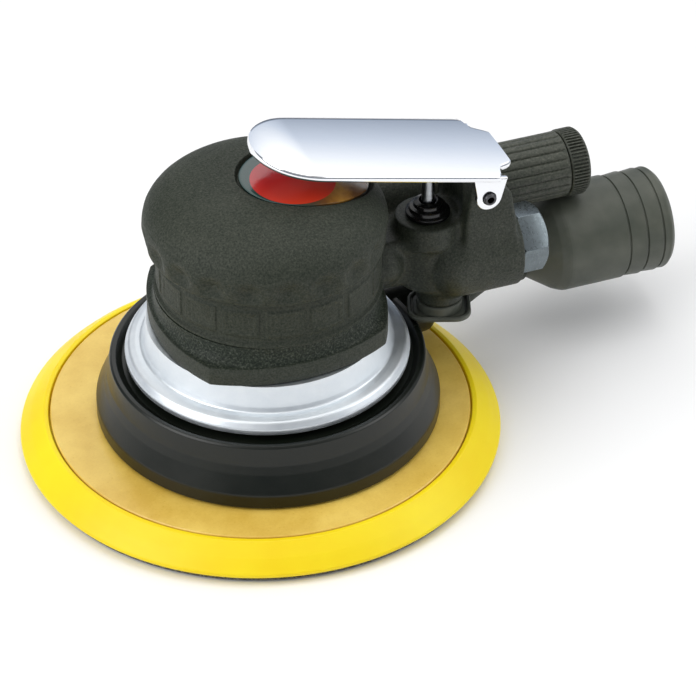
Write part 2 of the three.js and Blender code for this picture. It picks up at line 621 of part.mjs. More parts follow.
function leverOutline() {
  const half = LEVER.width / 2;
  const round = -LEVER.tip + half;
  const tongue = 9.4;
  const shape = new THREE.Shape();
  shape.moveTo(LEVER.tail, -tongue);
  shape.lineTo(LEVER.tail, tongue);
  shape.lineTo(EAR.round, tongue + 2.8);
  shape.lineTo(EAR.round, half);
  shape.lineTo(round, half);
  shape.absarc(round, 0, half, Math.PI / 2, 1.5 * Math.PI);
  shape.lineTo(EAR.round, -half);
  shape.lineTo(EAR.round, -tongue - 2.8);
  shape.closePath();
  return shape;
}

function ear(side) {
  const shape = new THREE.Shape();
  const top = LEVER.rise - LEVER.crown - LEVER.sheet / 2;
  shape.moveTo(-EAR.front, top);
  shape.lineTo(-EAR.round, 0);
  shape.absarc(0, 0, EAR.round, Math.PI, 2 * Math.PI);
  shape.lineTo(EAR.round, top);
  shape.closePath();
  const options = { depth: LEVER.sheet, bevelEnabled: false, curveSegments: 8 };
  const geometry = new THREE.ExtrudeGeometry(shape, options).rotateX(Math.PI / 2);
  const y = side > 0 ? EAR.outer : -EAR.outer + LEVER.sheet;
  return toSolid(geometry.translate(0, y, 0));
}

// ---------------------------------------------------------------- silencer
function buildSilencer() {
  const { y, z, radius, start, cap, end, flutes } = SILENCER;
  const shape = new THREE.Shape();
  for (let i = 0; i < flutes * 2; i += 1) {
    const angle = (i * Math.PI) / flutes;
    const r = i % 2 ? radius : radius - 0.8;
    if (i === 0) shape.moveTo(r, 0);
    else shape.lineTo(r * Math.cos(angle), r * Math.sin(angle));
  }
  shape.closePath();
  const options = { depth: cap - GAP - start, bevelEnabled: false };
  const fluted = new THREE.ExtrudeGeometry(shape, options).rotateY(Math.PI / 2);
  const spigot = rodX(SILENCER.spigot, 66, start + 1, y, z);
  const shell = join(toSolid(fluted.translate(start, y, z)), spigot);
  const hollow = join(rodX(8.4, start + 2, 110, y, z), rodX(5.4, 60, 80, y, z));
  add('silencer_body', cut(shell, hollow), housingPlastic);
  add('silencer_insert', ringX(5.2, 8.1, start + 2.3, cap - 1, y, z), feltGrey);

  const rim = SILENCER.capRadius;
  const lid = revolveX([
    [0, cap], [rim, cap], [rim, end - 1.5], [rim - 1.7, end], [0, end],
  ], FINE_SIDES, y, z);
  const slots = [-5.7, -1.9, 1.9, 5.7].map((offset) => (
    block([cap - 1, end + 1], [y + offset - 0.9, y + offset + 0.9], [z - 5.6, z + 5.6])));
  add('silencer_cap', cut(lid, ...slots), housingPlastic);
}

buildPad();
buildMotor();
buildStator();
buildDustPath();
buildHousing();
buildCover();
buildValve();
buildLever();
buildSilencer();

export default sander;
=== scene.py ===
"""Looks of the pneumatic orbital sander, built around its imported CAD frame.

Lengths in this script are millimetres, turned to metres where a mesh is made.
+Z is up from the sanding face, +X points to the rear, and the motor axis is x = y = 0.
"""

import json
import math

import bmesh
import bpy
import numpy as np
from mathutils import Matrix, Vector


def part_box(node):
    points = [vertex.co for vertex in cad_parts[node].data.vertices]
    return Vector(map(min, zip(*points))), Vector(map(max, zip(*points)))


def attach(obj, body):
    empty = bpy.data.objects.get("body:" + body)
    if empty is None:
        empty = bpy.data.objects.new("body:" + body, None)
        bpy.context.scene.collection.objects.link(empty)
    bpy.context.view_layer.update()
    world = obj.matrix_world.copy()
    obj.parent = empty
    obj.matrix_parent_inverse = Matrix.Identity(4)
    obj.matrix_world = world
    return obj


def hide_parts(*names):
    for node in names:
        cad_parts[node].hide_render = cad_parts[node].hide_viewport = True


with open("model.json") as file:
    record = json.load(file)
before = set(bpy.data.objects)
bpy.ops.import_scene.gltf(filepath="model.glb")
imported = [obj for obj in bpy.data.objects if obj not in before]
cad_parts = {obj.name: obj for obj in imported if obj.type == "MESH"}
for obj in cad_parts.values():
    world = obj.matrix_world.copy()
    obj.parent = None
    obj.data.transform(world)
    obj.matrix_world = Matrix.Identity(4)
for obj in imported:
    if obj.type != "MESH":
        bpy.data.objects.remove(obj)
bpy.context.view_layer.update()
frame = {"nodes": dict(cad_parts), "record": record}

MM = 0.001
TAU = 2 * math.pi


# ------------------------------------------------------------------ places taken from the frame
def span(node):
    """Lowest and highest corner of a CAD node, in millimetres."""
    low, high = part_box(node)
    return np.array(low) / MM, np.array(high) / MM


def centre(node):
    low, high = span(node)
    return (low + high) / 2


PAD_X, PAD_Y, _ = centre("pad_foam")
PAD_TOP = span("pad_foam")[1][2]
VALVE_X = centre("valve_stem")[0]
PIVOT = centre("lever_pin")
REGULATOR_X = centre("speed_regulator")[0]
INLET_Z = centre("inlet_screen")[2]
SILENCER_Y, SILENCER_Z = centre("silencer_insert")[1:]
HOSE_Y, HOSE_Z = centre("swivel_ring")[1:]
LEVER_SLOPE = math.radians(13.6)
HEX_TURN = math.radians(48)
DUST_CIRCLE = 40
DUST_RADIUS = 5
DUST_HOLES = 6


# ------------------------------------------------------------------ meshes
def make(name, points, faces, look, sharp=32):
    """A shaded object from points in millimetres."""
    mesh = bpy.data.meshes.new(name)
    mesh.from_pydata((np.asarray(points) * MM).tolist(), [], faces)
    tidy = bmesh.new()
    tidy.from_mesh(mesh)
    bmesh.ops.delete(tidy, geom=[v for v in tidy.verts if not v.link_faces], context="VERTS")
    bmesh.ops.recalc_face_normals(tidy, faces=tidy.faces)
    tidy.to_mesh(mesh)
    tidy.free()
    obj = add_object(name, mesh)
    mesh.materials.append(look)
    shade(obj, sharp)
    return obj


def add_object(name, data):
    obj = bpy.data.objects.new(name, data)
    bpy.context.collection.objects.link(obj)
    return obj


def shade(obj, sharp=32):
    obj.data.polygons.foreach_set("use_smooth", [True] * len(obj.data.polygons))
    obj.data.set_sharp_from_angle(angle=math.radians(sharp))


def apply_modifiers(obj):
    bpy.context.view_layer.update()
    seen = obj.evaluated_get(bpy.context.evaluated_depsgraph_get())
    mesh = bpy.data.meshes.new_from_object(seen)
    obj.modifiers.clear()
    old, obj.data = obj.data, mesh
    bpy.data.meshes.remove(old)


def combine(obj, others, operation="DIFFERENCE", sharp=32):
    """Cuts, joins or intersects obj with the others, which are used up."""
    for other in others:
        step = obj.modifiers.new("combine", "BOOLEAN")
        step.object = other
        step.operation = operation
        step.solver = "EXACT"
    apply_modifiers(obj)
    for other in others:
        bpy.data.objects.remove(other)
    shade(obj, sharp)
    return obj


def rounded(corners, closed=False, turn_step=12):
    """A polyline from (a, b) or (a, b, radius) corners, with arcs at the rounded ones."""
    count = len(corners)
    path = []
    for i, corner in enumerate(corners):
        here = np.array(corner[:2], float)
        radius = corner[2] if len(corner) > 2 else 0
        if radius == 0 or (not closed and i in (0, count - 1)):
            path.append(here)
            continue
        before = np.array(corners[i - 1][:2], float) - here
        after = np.array(corners[(i + 1) % count][:2], float) - here
        path.extend(arc_between(here, before, after, radius, turn_step))
    return [tuple(p) for p in path]


def arc_between(here, before, after, radius, turn_step):
    """Points of the arc that rounds the corner between two directions."""
    largest_share, straight = 0.49, math.pi - 0.02
    room = min(np.hypot(*before), np.hypot(*after)) * largest_share
    before = before / np.hypot(*before)
    after = after / np.hypot(*after)
    opening = math.acos(np.clip(before @ after, -1, 1))
    if opening > straight:
        return [here]
    reach = min(radius / math.tan(opening / 2), room)
    radius = reach * math.tan(opening / 2)
    middle = (before + after) / np.hypot(*(before + after))
    hub = here + middle * radius / math.sin(opening / 2)
    start = here + before * reach - hub
    end = here + after * reach - hub
    turn = math.pi - opening
    steps = max(2, math.ceil(math.degrees(turn) / turn_step))
    if start[0] * end[1] - start[1] * end[0] < 0:
        turn = -turn
    angles = [turn * k / steps for k in range(steps + 1)]
    return [hub + np.array([start[0] * math.cos(a) - start[1] * math.sin(a),
                            start[0] * math.sin(a) + start[1] * math.cos(a)]) for a in angles]


def refined(path, longest, closed=False):
    """Adds points so that no step is longer than asked, and guards the ends of long steps."""
    long_step, guard = 0.6, 0.12
    pairs = list(zip(path, path[1:] + path[:1])) if closed else list(zip(path, path[1:]))
    out = []
    for (a0, b0), (a1, b1) in pairs:
        length = math.hypot(a1 - a0, b1 - b0)
        pieces = max(1, math.ceil(length / longest))
        stops = {k / pieces for k in range(pieces)}
        if length > long_step:
            stops |= {guard / length, 1 - guard / length}
        out.extend((a0 + (a1 - a0) * t, b0 + (b1 - b0) * t) for t in sorted(stops))
    return out if closed else out + [path[-1]]


def revolve(name, profile, look, sides=192, at=(0, 0), along="Z", closed=False, shape=None,
            longest=3.0, shift=None):
    """Turns a profile of (radius, distance) about a Z or X axis.

    shape(angle, radius, distance) gives an extra height along the profile's own normal,
    and shift(distance) moves a ring sideways.
    """
    path = np.array(refined(rounded(profile, closed), longest, closed))
    radius, distance = path[:, 0], path[:, 1]
    angle = np.arange(sides) * TAU / sides
    rings_r = np.repeat(radius[:, None], sides, 1)
    rings_d = np.repeat(distance[:, None], sides, 1)
    if shape:
        normal = profile_normals(path, closed)
        height = shape(angle[None, :], rings_r, rings_d)
        rings_r = rings_r + height * normal[:, :1]
        rings_d = rings_d + height * normal[:, 1:]
    across = rings_r * np.cos(angle)
    other = rings_r * np.sin(angle)
    if shift:
        across = across + shift(rings_d)
    if along == "Z":
        points = np.stack([across + at[0], other + at[1], rings_d], -1)
    else:
        points = np.stack([rings_d, across + at[0], other + at[1]], -1)
    return make(name, *stitch(points, radius, closed), look)


def profile_normals(path, closed):
    if closed:
        run = np.roll(path, -1, 0) - np.roll(path, 1, 0)
    else:
        run = np.gradient(path, axis=0)
    normal = np.stack([run[:, 1], -run[:, 0]], -1)
    normal /= np.maximum(np.hypot(*normal.T), 1e-9)[:, None]
    return normal


def stitch(points, radius, closed):
    """Faces between rings of points. A ring of no radius becomes one point."""
    rings, sides = points.shape[:2]
    flat = []
    starts = []
    for ring in range(rings):
        starts.append(len(flat))
        if radius[ring] < 1e-6:
            flat.append(points[ring].mean(0))
        else:
            flat.extend(points[ring])
    faces = []
    last = rings if closed else rings - 1
    for ring in range(last):
        upper = (ring + 1) % rings
        low, high = starts[ring], starts[upper]
        low_point = radius[ring] < 1e-6
        high_point = radius[upper] < 1e-6
        for i in range(sides):
            j = (i + 1) % sides
            if low_point and high_point:
                continue
            if low_point:
                faces.append((low, high + j, high + i))
            elif high_point:
                faces.append((low + i, low + j, high))
            else:
                faces.append((low + i, low + j, high + j, high + i))
    return np.array(flat), faces


def loft(name, loops, look, sharp=32):
    """A closed skin over equal loops of points, capped at both ends."""
    sides = len(loops[0])
    points = np.concatenate(loops)
    faces = [tuple(range(sides)), tuple(range((len(loops) - 1) * sides, len(loops) * sides))]
    for ring in range(len(loops) - 1):
        low, high = ring * sides, (ring + 1) * sides
        faces.extend((low + i, low + (i + 1) % sides, high + (i + 1) % sides, high + i)
                     for i in range(sides))
    return make(name, points, faces, look, sharp)


def slab(name, outline, low, high, edge, look, place=None):
    """A plate of an outline, from low to high, with its edges rounded by edge."""
    steps = 4
    levels = []
    for k in range(steps + 1):
        turn = math.pi / 2 * k / steps
        levels.append((edge * (1 - math.sin(turn)), low + edge * (1 - math.cos(turn))))
    levels += [(inset, high + low - level) for inset, level in reversed(levels)]
    return terrace(name, outline, levels, look, place)


def terrace(name, outline, levels, look, place=None):
    """A solid over (inset, height) levels of one outline."""
    outline = np.array(outline)
    inward = inward_normals(outline)
    loops = []
    for inset, level in levels:
        flat = outline + inward * inset
        loops.append(np.column_stack([flat, np.full(len(flat), level)]))
    if place:
        loops = [place(loop) for loop in loops]
    return loft(name, loops, look)


def facing_x(y, z):
    """Stands a shape made about the Z axis along X, with its axis at (y, z)."""
    return lambda points: np.column_stack([points[:, 2], points[:, 0] + y, points[:, 1] + z])


def inward_normals(outline):
    run = np.roll(outline, -1, 0) - np.roll(outline, 1, 0)
    inward = np.stack([-run[:, 1], run[:, 0]], -1)
    inward /= np.maximum(np.hypot(*inward.T), 1e-9)[:, None]
    ahead = np.roll(outline, -1, 0)
    area = np.sum(outline[:, 0] * ahead[:, 1] - ahead[:, 0] * outline[:, 1])
    return inward if area > 0 else -inward


def cylinder(radius, low, high, at=(0, 0)):
    profile = [(0, low), (radius, low), (radius, high), (0, high)]
    return revolve("cutter", profile, None, 48, at, longest=1000)


def round_ring(spot, axis, radius, sides=96):
    """Points of a circle round an axis that is not upright."""
    side = np.cross(axis, [0, 0, 1])
    side /= np.linalg.norm(side)
    up = np.cross(side, axis)
    angle = np.arange(sides) * TAU / sides
    return spot + radius * (np.cos(angle)[:, None] * side + np.sin(angle)[:, None] * up)


# ------------------------------------------------------------------ solids from distances
class Field:
    """Signed distances in millimetres on a grid, negative inside."""

    def __init__(self, low, high, cell):
        self.low, self.cell = np.array(low, float), cell
        axes = [np.arange(a, b + cell, cell, dtype=np.float32) for a, b in zip(low, high)]
        self.x, self.y, self.z = np.meshgrid(*axes, indexing="ij", sparse=True)

    def rod(self, along, at, radius, low, high, edge=0.0):
        u, v, w = {"X": (self.y, self.z, self.x), "Y": (self.x, self.z, self.y),
                   "Z": (self.x, self.y, self.z)}[along]
        side = np.hypot(u - at[0], v - at[1]) - radius + edge
        end = np.abs(w - (low + high) / 2) - (high - low) / 2 + edge
        return capped(side, end) - edge

    def block(self, low, high, edge):
        low, high = np.array(low, float), np.array(high, float)
        middle, half = (low + high) / 2, (high - low) / 2 - edge
        far = [np.abs(axis - m) - h for axis, m, h in zip((self.x, self.y, self.z), middle, half)]
        outside = np.sqrt(sum(np.maximum(d, 0) ** 2 for d in far))
        inside = np.minimum(np.maximum(np.maximum(far[0], far[1]), far[2]), 0)
        return outside + inside - edge

    def egg(self, at, radii):
        """An ellipsoid, with distances that are right near its surface."""
        parts = [(axis - c) / r for axis, c, r in zip((self.x, self.y, self.z), at, radii)]
        size = np.sqrt(sum(part ** 2 for part in parts))
        slope = np.sqrt(sum((part / r) ** 2 for part, r in zip(parts, radii)))
        return size * (size - 1) / np.maximum(slope, 1e-6)

    def plank(self, outline, half, edge):
        """An outline of (x, z) corners, extruded along Y to both sides of the middle."""
        side = outline_distance(self.x[:, 0, :], self.z[:, 0, :], outline)[:, None, :] + edge
        return capped(side, np.abs(self.y) - half + edge) - edge


def capped(side, end):
    return np.hypot(np.maximum(side, 0), np.maximum(end, 0)) + np.minimum(np.maximum(side, end), 0)


def outline_distance(x, y, outline):
    """Signed distance in the plane to a closed convex outline that runs anticlockwise."""
    x, y = np.broadcast_arrays(x, y)
    best = np.full(x.shape, -1e9, np.float32)
    near = np.full(x.shape, 1e9, np.float32)
    outline = np.array(outline)
    for (ax, ay), (bx, by) in zip(outline, np.roll(outline, -1, 0)):
        dx, dy = bx - ax, by - ay
        length = math.hypot(dx, dy)
        if length < 1e-6:
            continue
        across = ((x - ax) * dy - (y - ay) * dx) / length
        along = np.clip(((x - ax) * dx + (y - ay) * dy) / length, 0, length)
        best = np.maximum(best, across)
        near = np.minimum(near, np.hypot(x - ax - dx * along / length, y - ay - dy * along / length))
    return np.where(best < 0, -near, near)


def blend(a, b, width):
    """Joins two solids, with a fillet about as wide as asked."""
    mix = np.maximum(width - np.abs(a - b), 0) / width
    return np.minimum(a, b) - mix * mix * width / 4


def carve(a, b, width=0.4):
    return -blend(-a, b, width)


def skin(name, field, distance, look):
    """The surface where the distance is nought, with one point in each cell that it crosses."""
    sharp = 180
    whole = np.broadcast_shapes(field.x.shape, field.y.shape, field.z.shape)
    distance = np.broadcast_to(distance, whole)
    cells = tuple(n - 1 for n in distance.shape)
    total = np.zeros(cells + (3,), np.float32)
    hits = np.zeros(cells, np.int16)
    for axis in range(3):
        add_crossings(distance, axis, total, hits)
    active = hits > 0
    number = np.full(cells, -1, np.int64)
    number[active] = np.arange(active.sum())
    corner = np.argwhere(active)
    points = field.low + (corner + total[active] / hits[active][:, None]) * field.cell
    faces = []
    for axis in range(3):
        faces.extend(crossing_faces(distance, axis, number))
    obj = make(name, points, faces, look, sharp)
    step = obj.modifiers.new("smooth", "SMOOTH")
    step.factor = 0.5
    step.iterations = 2
    apply_modifiers(obj)
    shade(obj, sharp)
    return obj


def add_crossings(distance, axis, total, hits):
    """Adds up, for each cell, where its four edges along an axis cross the surface."""
    first = np.take(distance, range(distance.shape[axis] - 1), axis)
    second = np.take(distance, range(1, distance.shape[axis]), axis)
    crossed = (first < 0) != (second < 0)
    part = np.where(crossed, first / np.where(crossed, first - second, 1), 0)
    others = [a for a in range(3) if a != axis]
    for step_a in (0, 1):
        for step_b in (0, 1):
            cut = [slice(None)] * 3
            cut[others[0]] = slice(step_a, step_a + total.shape[others[0]])
            cut[others[1]] = slice(step_b, step_b + total.shape[others[1]])
            here = crossed[tuple(cut)]
            total[..., axis] += np.where(here, part[tuple(cut)], 0)
            total[..., others[0]] += np.where(here, step_a, 0)
            total[..., others[1]] += np.where(here, step_b, 0)
            hits += here


def crossing_faces(distance, axis, number):
    """One four-sided face round each edge along an axis that crosses the surface."""
    first = np.take(distance, range(distance.shape[axis] - 1), axis)
    second = np.take(distance, range(1, distance.shape[axis]), axis)
    where = np.argwhere((first < 0) != (second < 0))
    others = [a for a in range(3) if a != axis]
    for other in others:
        where = where[(where[:, other] > 0) & (where[:, other] < distance.shape[other] - 1)]
    corners = []
    for step_a, step_b in ((1, 1), (0, 1), (0, 0), (1, 0)):
        cell = where.copy()
        cell[:, others[0]] -= step_a
        cell[:, others[1]] -= step_b
        corners.append(number[tuple(cell.T)])
    return np.stack(corners, -1).tolist()


# ------------------------------------------------------------------ materials
def fill_ramp(ramp, stops):
    """Gives a colour ramp its (position, colour) stops."""
    while len(ramp.elements) < len(stops):
        ramp.elements.new(0.5)
    for element, (position, color) in zip(ramp.elements, stops):
        element.position = position
        element.color = (*color, 1)


class Look:
    """A material with short calls for its nodes. Patterns are sized in millimetres."""

    def __init__(self, name, color, roughness, metallic=0.0):
        self.material = bpy.data.materials.new(name)
        self.material.use_nodes = True
        self.tree = self.material.node_tree
        self.shader = self.tree.nodes["Principled BSDF"]
        self.shader.inputs["Base Color"].default_value = (*color, 1)
        self.shader.inputs["Roughness"].default_value = roughness
        self.shader.inputs["Metallic"].default_value = metallic
        self.place = self.tree.nodes.new("ShaderNodeTexCoord").outputs["Object"]

    def node(self, kind, **inputs):
        node = self.tree.nodes.new(kind)
        for key, value in inputs.items():
            self.plug(node.inputs[key.replace("_", " ")], value)
        return node

    def plug(self, socket, value):
        if isinstance(value, bpy.types.NodeSocket):
            self.tree.links.new(value, socket)
        else:
            socket.default_value = value

    def noise(self, size, detail=3.0, rough=0.5, stretch=None):
        where = self.stretched(stretch) if stretch else self.place
        node = self.node("ShaderNodeTexNoise", Vector=where, Scale=1 / (size * MM), Detail=detail,
                         Roughness=rough)
        return node.outputs["Fac"]

    def cells(self, size):
        node = self.node("ShaderNodeTexVoronoi", Vector=self.place, Scale=1 / (size * MM))
        return node.outputs["Distance"]

    def stretched(self, scale):
        node = self.node("ShaderNodeMapping", Vector=self.place)
        node.inputs["Scale"].default_value = scale
        return node.outputs["Vector"]

    def ramp(self, value, stops):
        node = self.node("ShaderNodeValToRGB", Fac=value)
        fill_ramp(node.color_ramp, stops)
        return node.outputs["Color"]

    def range(self, value, low, high, to_low, to_high):
        node = self.node("ShaderNodeMapRange", Value=value, From_Min=low, From_Max=high,
                         To_Min=to_low, To_Max=to_high)
        return node.outputs["Result"]

    def math(self, operation, a, b):
        node = self.tree.nodes.new("ShaderNodeMath")
        node.operation = operation
        self.plug(node.inputs[0], a)
        self.plug(node.inputs[1], b)
        return node.outputs[0]

    def mix(self, factor, a, b):
        node = self.tree.nodes.new("ShaderNodeMix")
        node.data_type = "RGBA"
        self.plug(node.inputs[0], factor)
        for socket, value in ((node.inputs[6], a), (node.inputs[7], b)):
            self.plug(socket, (*value, 1) if isinstance(value, tuple) else value)
        return node.outputs[2]

    def axis(self, index):
        node = self.node("ShaderNodeSeparateXYZ", Vector=self.place)
        return node.outputs[index]

    def edges(self):
        """Rises where the surface is sharply convex, for worn edges."""
        point = self.tree.nodes.new("ShaderNodeNewGeometry").outputs["Pointiness"]
        return self.range(point, 0.5, 0.62, 0.0, 1.0)

    def bumps(self, *heights):
        """Bumps of (height, size in millimetres, strength), one over another."""
        normal = None
        for height, size, strength in heights:
            node = self.node("ShaderNodeBump", Height=height, Distance=size * MM, Strength=strength)
            if normal:
                self.plug(node.inputs["Normal"], normal)
            normal = node.outputs["Normal"]
        self.plug(self.shader.inputs["Normal"], normal)

    def set(self, **inputs):
        for key, value in inputs.items():
            self.plug(self.shader.inputs[key.replace("_", " ")], value)
        return self

    def paint(self, value, *stops):
        """Colours the surface by a pattern, from (position, colour) stops."""
        return self.set(Base_Color=self.ramp(value, stops))

    def rough(self, value, at_low, at_high, low=0.3, high=0.7):
        """Runs the roughness from one value to another as a pattern goes from low to high."""
        return self.set(Roughness=self.range(value, low, high, at_low, at_high))

    def weigh(self, a, share_a, b, share_b):
        """Two patterns added, each times its share."""
        return self.math("ADD", self.math("MULTIPLY", a, share_a), self.math("MULTIPLY", b, share_b))


def grained(name, dark, light, grain, roughness, depth):
    """Moulded rubber or plastic with a fine pebbled skin and a few pale specks."""
    look = Look(name, light, roughness)
    pebbles = look.cells(grain)
    soft = look.noise(grain * 2.0, 4.0, 0.7)
    wide = look.noise(16, 3.0, 0.6)
    speck = look.weigh(soft, 0.85, wide, 0.15)
    pale = tuple(c * 1.8 for c in light)
    look.paint(speck, (0.36, dark), (0.6, light), (0.72, pale))
    look.rough(speck, roughness + 0.08, roughness - 0.08, 0.35, 0.65)
    look.set(Specular_IOR_Level=0.3)
    look.bumps((wide, 0.2, 0.12), (soft, grain * 0.4, depth), (pebbles, grain * 0.5, depth))
    return look.material


def make_flange_plastic():
    """Fine on the upright edge of the flange, with a coarse cove above it whose darker tone is painted
    shade.
    """
    look = Look("flange_plastic", (0.03, 0.036, 0.026), 0.5)
    cove = look.range(look.axis(2), 50.35 * MM, 50.6 * MM, 0.0, 1.0)
    fine = look.noise(0.6, 4.0, 0.7)
    coarse = look.noise(0.6, 2.0, 0.6)
    edge = look.ramp(fine, [(0.36, (0.016, 0.022, 0.014)), (0.62, (0.044, 0.049, 0.037))])
    # The cove's speckle is its real coarse grain; its darker tone than the edge is painted shade for the
    # concave cove.
    speck = look.ramp(coarse, [(0.40, (0.004, 0.009, 0.004)), (0.58, (0.026, 0.034, 0.022)),
                               (0.72, (0.07, 0.08, 0.062))])
    look.set(Base_Color=look.mix(cove, edge, speck), Specular_IOR_Level=0.3)
    look.rough(fine, 0.58, 0.44, 0.35, 0.65)
    depth = look.math("MULTIPLY", coarse, look.range(cove, 0.0, 1.0, 0.25, 1.0))
    look.bumps((fine, 0.12, 0.35), (depth, 0.35, 0.5))
    return look.material


def make_smooth_plastic():
    look = Look("hose_plastic", (0.05, 0.054, 0.042), 0.42)
    fine = look.noise(0.9, 5.0, 0.6)
    wide = look.noise(9, 3.0, 0.5)
    look.paint(wide, (0.3, (0.062, 0.070, 0.054)), (0.7, (0.098, 0.104, 0.082)))
    look.rough(fine, 0.36, 0.5).set(Specular_IOR_Level=0.4)
    look.bumps((wide, 0.3, 0.1), (fine, 0.12, 0.25))
    return look.material


def make_rubber():
    look = Look("black_rubber", (0.009, 0.010, 0.010), 0.36)
    fine = look.noise(0.7, 4.0, 0.6)
    bloom = look.noise(22, 4.0, 0.6)
    look.paint(bloom, (0.3, (0.003, 0.005, 0.003)), (0.75, (0.009, 0.011, 0.008)))
    look.rough(bloom, 0.26, 0.36).set(Specular_IOR_Level=0.4)
    look.bumps((fine, 0.08, 0.22))
    return look.material


def make_seal():
    look = Look("seal_rubber", (0.006, 0.006, 0.006), 0.16)
    fine = look.noise(0.6, 3.0)
    look.rough(fine, 0.12, 0.24)
    look.bumps((fine, 0.04, 0.2))
    return look.material


def make_aluminium():
    """Turned and satin blasted, with faint tool lines round the motor axis."""
    look = Look("aluminium", (0.70, 0.735, 0.77), 0.3, 1.0)
    rings = look.tree.nodes.new("ShaderNodeTexWave")
    rings.wave_type = "RINGS"
    rings.rings_direction = "Z"
    look.plug(rings.inputs["Vector"], look.place)
    rings.inputs["Scale"].default_value = 1 / (2.4 * MM)
    rings.inputs["Distortion"].default_value = 0.6
    cloud = look.noise(7, 4.0, 0.6)
    fine = look.noise(0.35, 2.0)
    tone = look.ramp(cloud, [(0.3, (0.74, 0.79, 0.83)), (0.7, (0.84, 0.88, 0.91))])
    look.set(Base_Color=look.mix(look.edges(), tone, (0.9, 0.92, 0.94)))
    look.rough(cloud, 0.42, 0.5)
    look.bumps((rings.outputs["Fac"], 0.01, 0.25), (fine, 0.02, 0.2))
    return look.material


def make_chrome():
    look = Look("chrome", (0.87, 0.885, 0.91), 0.06, 1.0)
    haze = look.noise(16, 4.0, 0.65)
    drawn = look.noise(1.2, 2.0, 0.5, stretch=(0.05, 1, 1))
    look.rough(haze, 0.045, 0.12, 0.35, 0.75)
    look.bumps((haze, 0.25, 0.05), (drawn, 0.004, 0.25))
    return look.material


def make_steel(name="steel", color=(0.42, 0.44, 0.46), roughness=0.3):
    look = Look(name, color, roughness, 1.0)
    cloud = look.noise(3.5, 4.0, 0.6)
    cut_marks = look.noise(0.7, 3.0, 0.6, stretch=(1, 1, 0.12))
    darker = tuple(c * 0.72 for c in color)
    tone = look.ramp(cloud, [(0.3, darker), (0.7, color)])
    look.set(Base_Color=look.mix(look.edges(), tone, tuple(min(1, c * 1.7) for c in color)))
    look.rough(cut_marks, roughness - 0.08, roughness + 0.12)
    look.bumps((cut_marks, 0.03, 0.3))
    return look.material


def make_foam():
    """Moulded polyurethane with a smooth, slightly waxy yellow skin."""
    look = Look("pad_foam", (0.95, 0.72, 0.008), 0.34)
    cloud = look.noise(26, 3.0, 0.5)
    pores = look.cells(0.9)
    fine = look.noise(0.8, 4.0, 0.6)
    look.paint(cloud, (0.3, (0.93, 0.67, 0.006)), (0.7, (0.98, 0.77, 0.012)))
    look.rough(fine, 0.36, 0.48).set(Specular_IOR_Level=0.3)
    look.set(Subsurface_Weight=0.12, Subsurface_Scale=3 * MM, Subsurface_Radius=(1.0, 0.75, 0.1))
    look.bumps((fine, 0.06, 0.3), (pores, 0.05, 0.12))
    return look.material


def make_plate():
    """Glass-fibre laminate, tan, with cloudy resin and faint short fibres."""
    look = Look("backing_plate", (0.80, 0.56, 0.19), 0.3)
    cloud = look.noise(18, 5.0, 0.62)
    fibres = look.noise(0.8, 4.0, 0.7)
    mottled = look.weigh(cloud, 0.8, fibres, 0.2)
    look.paint(mottled, (0.34, (0.70, 0.44, 0.06)), (0.66, (0.90, 0.64, 0.14)))
    look.rough(fibres, 0.26, 0.4)
    look.set(Coat_Weight=0.25, Coat_Roughness=0.25)
    look.bumps((fibres, 0.05, 0.3))
    return look.material


def make_hooks():
    look = Look("hook_pile", (0.2, 0.2, 0.19), 0.9)
    stems = look.cells(0.55)
    patch = look.noise(9, 3.0)
    look.paint(stems, (0.1, (0.36, 0.36, 0.34)), (0.6, (0.08, 0.08, 0.075)))
    look.rough(patch, 0.8, 0.95)
    look.bumps((look.math("SUBTRACT", 1.0, stems), 0.4, 1.0))
    return look.material


# Centre and radius of the label's red disc.
LABEL_DISC = (8.0, -2.5, 12.8)


def make_label():
    """A printed film: dark green with a red disc and an amber band, and no lettering."""
    look = Look("label_print", (0.01, 0.05, 0.045), 0.22)
    x, y = look.axis(0), look.axis(1)
    dx = look.math("SUBTRACT", x, LABEL_DISC[0] * MM)
    dy = look.math("SUBTRACT", y, LABEL_DISC[1] * MM)
    away = look.math("POWER", look.math("ADD", look.math("MULTIPLY", dx, dx),
                                        look.math("MULTIPLY", dy, dy)), 0.5)
    edge = LABEL_DISC[2] * MM
    inside = look.range(away, edge - 0.1 * MM, edge + 0.1 * MM, 1.0, 0.0)
    cloud = look.noise(4, 4.0, 0.7)
    fade = look.math("ADD", look.range(x, 3 * MM, 24 * MM, 0.0, 1.0),
                     look.math("MULTIPLY", look.math("SUBTRACT", cloud, 0.5), 0.35))
    brown = (0.16, 0.07, 0.02)
    ground = look.ramp(fade, [(0.0, (0.006, 0.045, 0.040)), (0.22, (0.03, 0.05, 0.035)),
                              (0.5, brown), (0.8, (0.42, 0.21, 0.035)), (1.0, brown)])
    red = look.ramp(look.range(y, -18 * MM, 2 * MM, 0.0, 1.0),
                    [(0.0, (0.62, 0.05, 0.015)), (1.0, (0.55, 0.012, 0.02))])
    look.set(Base_Color=look.mix(inside, ground, red), Coat_Weight=0.6, Coat_Roughness=0.12)
    look.bumps((look.noise(6, 2.0), 0.05, 0.15))
    return look.material


def make_felt():
    look = Look("felt", (0.4, 0.39, 0.35), 0.95)
    fibre = look.noise(0.5, 6.0, 0.8)
    look.paint(fibre, (0.3, (0.25, 0.24, 0.21)), (0.7, (0.5, 0.48, 0.44)))
    look.bumps((fibre, 0.4, 0.8))
    return look.material


def make_phenolic():
    look = Look("phenolic", (0.17, 0.085, 0.035), 0.5)
    weave = look.noise(0.6, 4.0, 0.6, stretch=(1, 1, 4))
    look.paint(weave, (0.3, (0.10, 0.045, 0.02)), (0.7, (0.24, 0.12, 0.05)))
    look.bumps((weave, 0.05, 0.4))
    return look.material


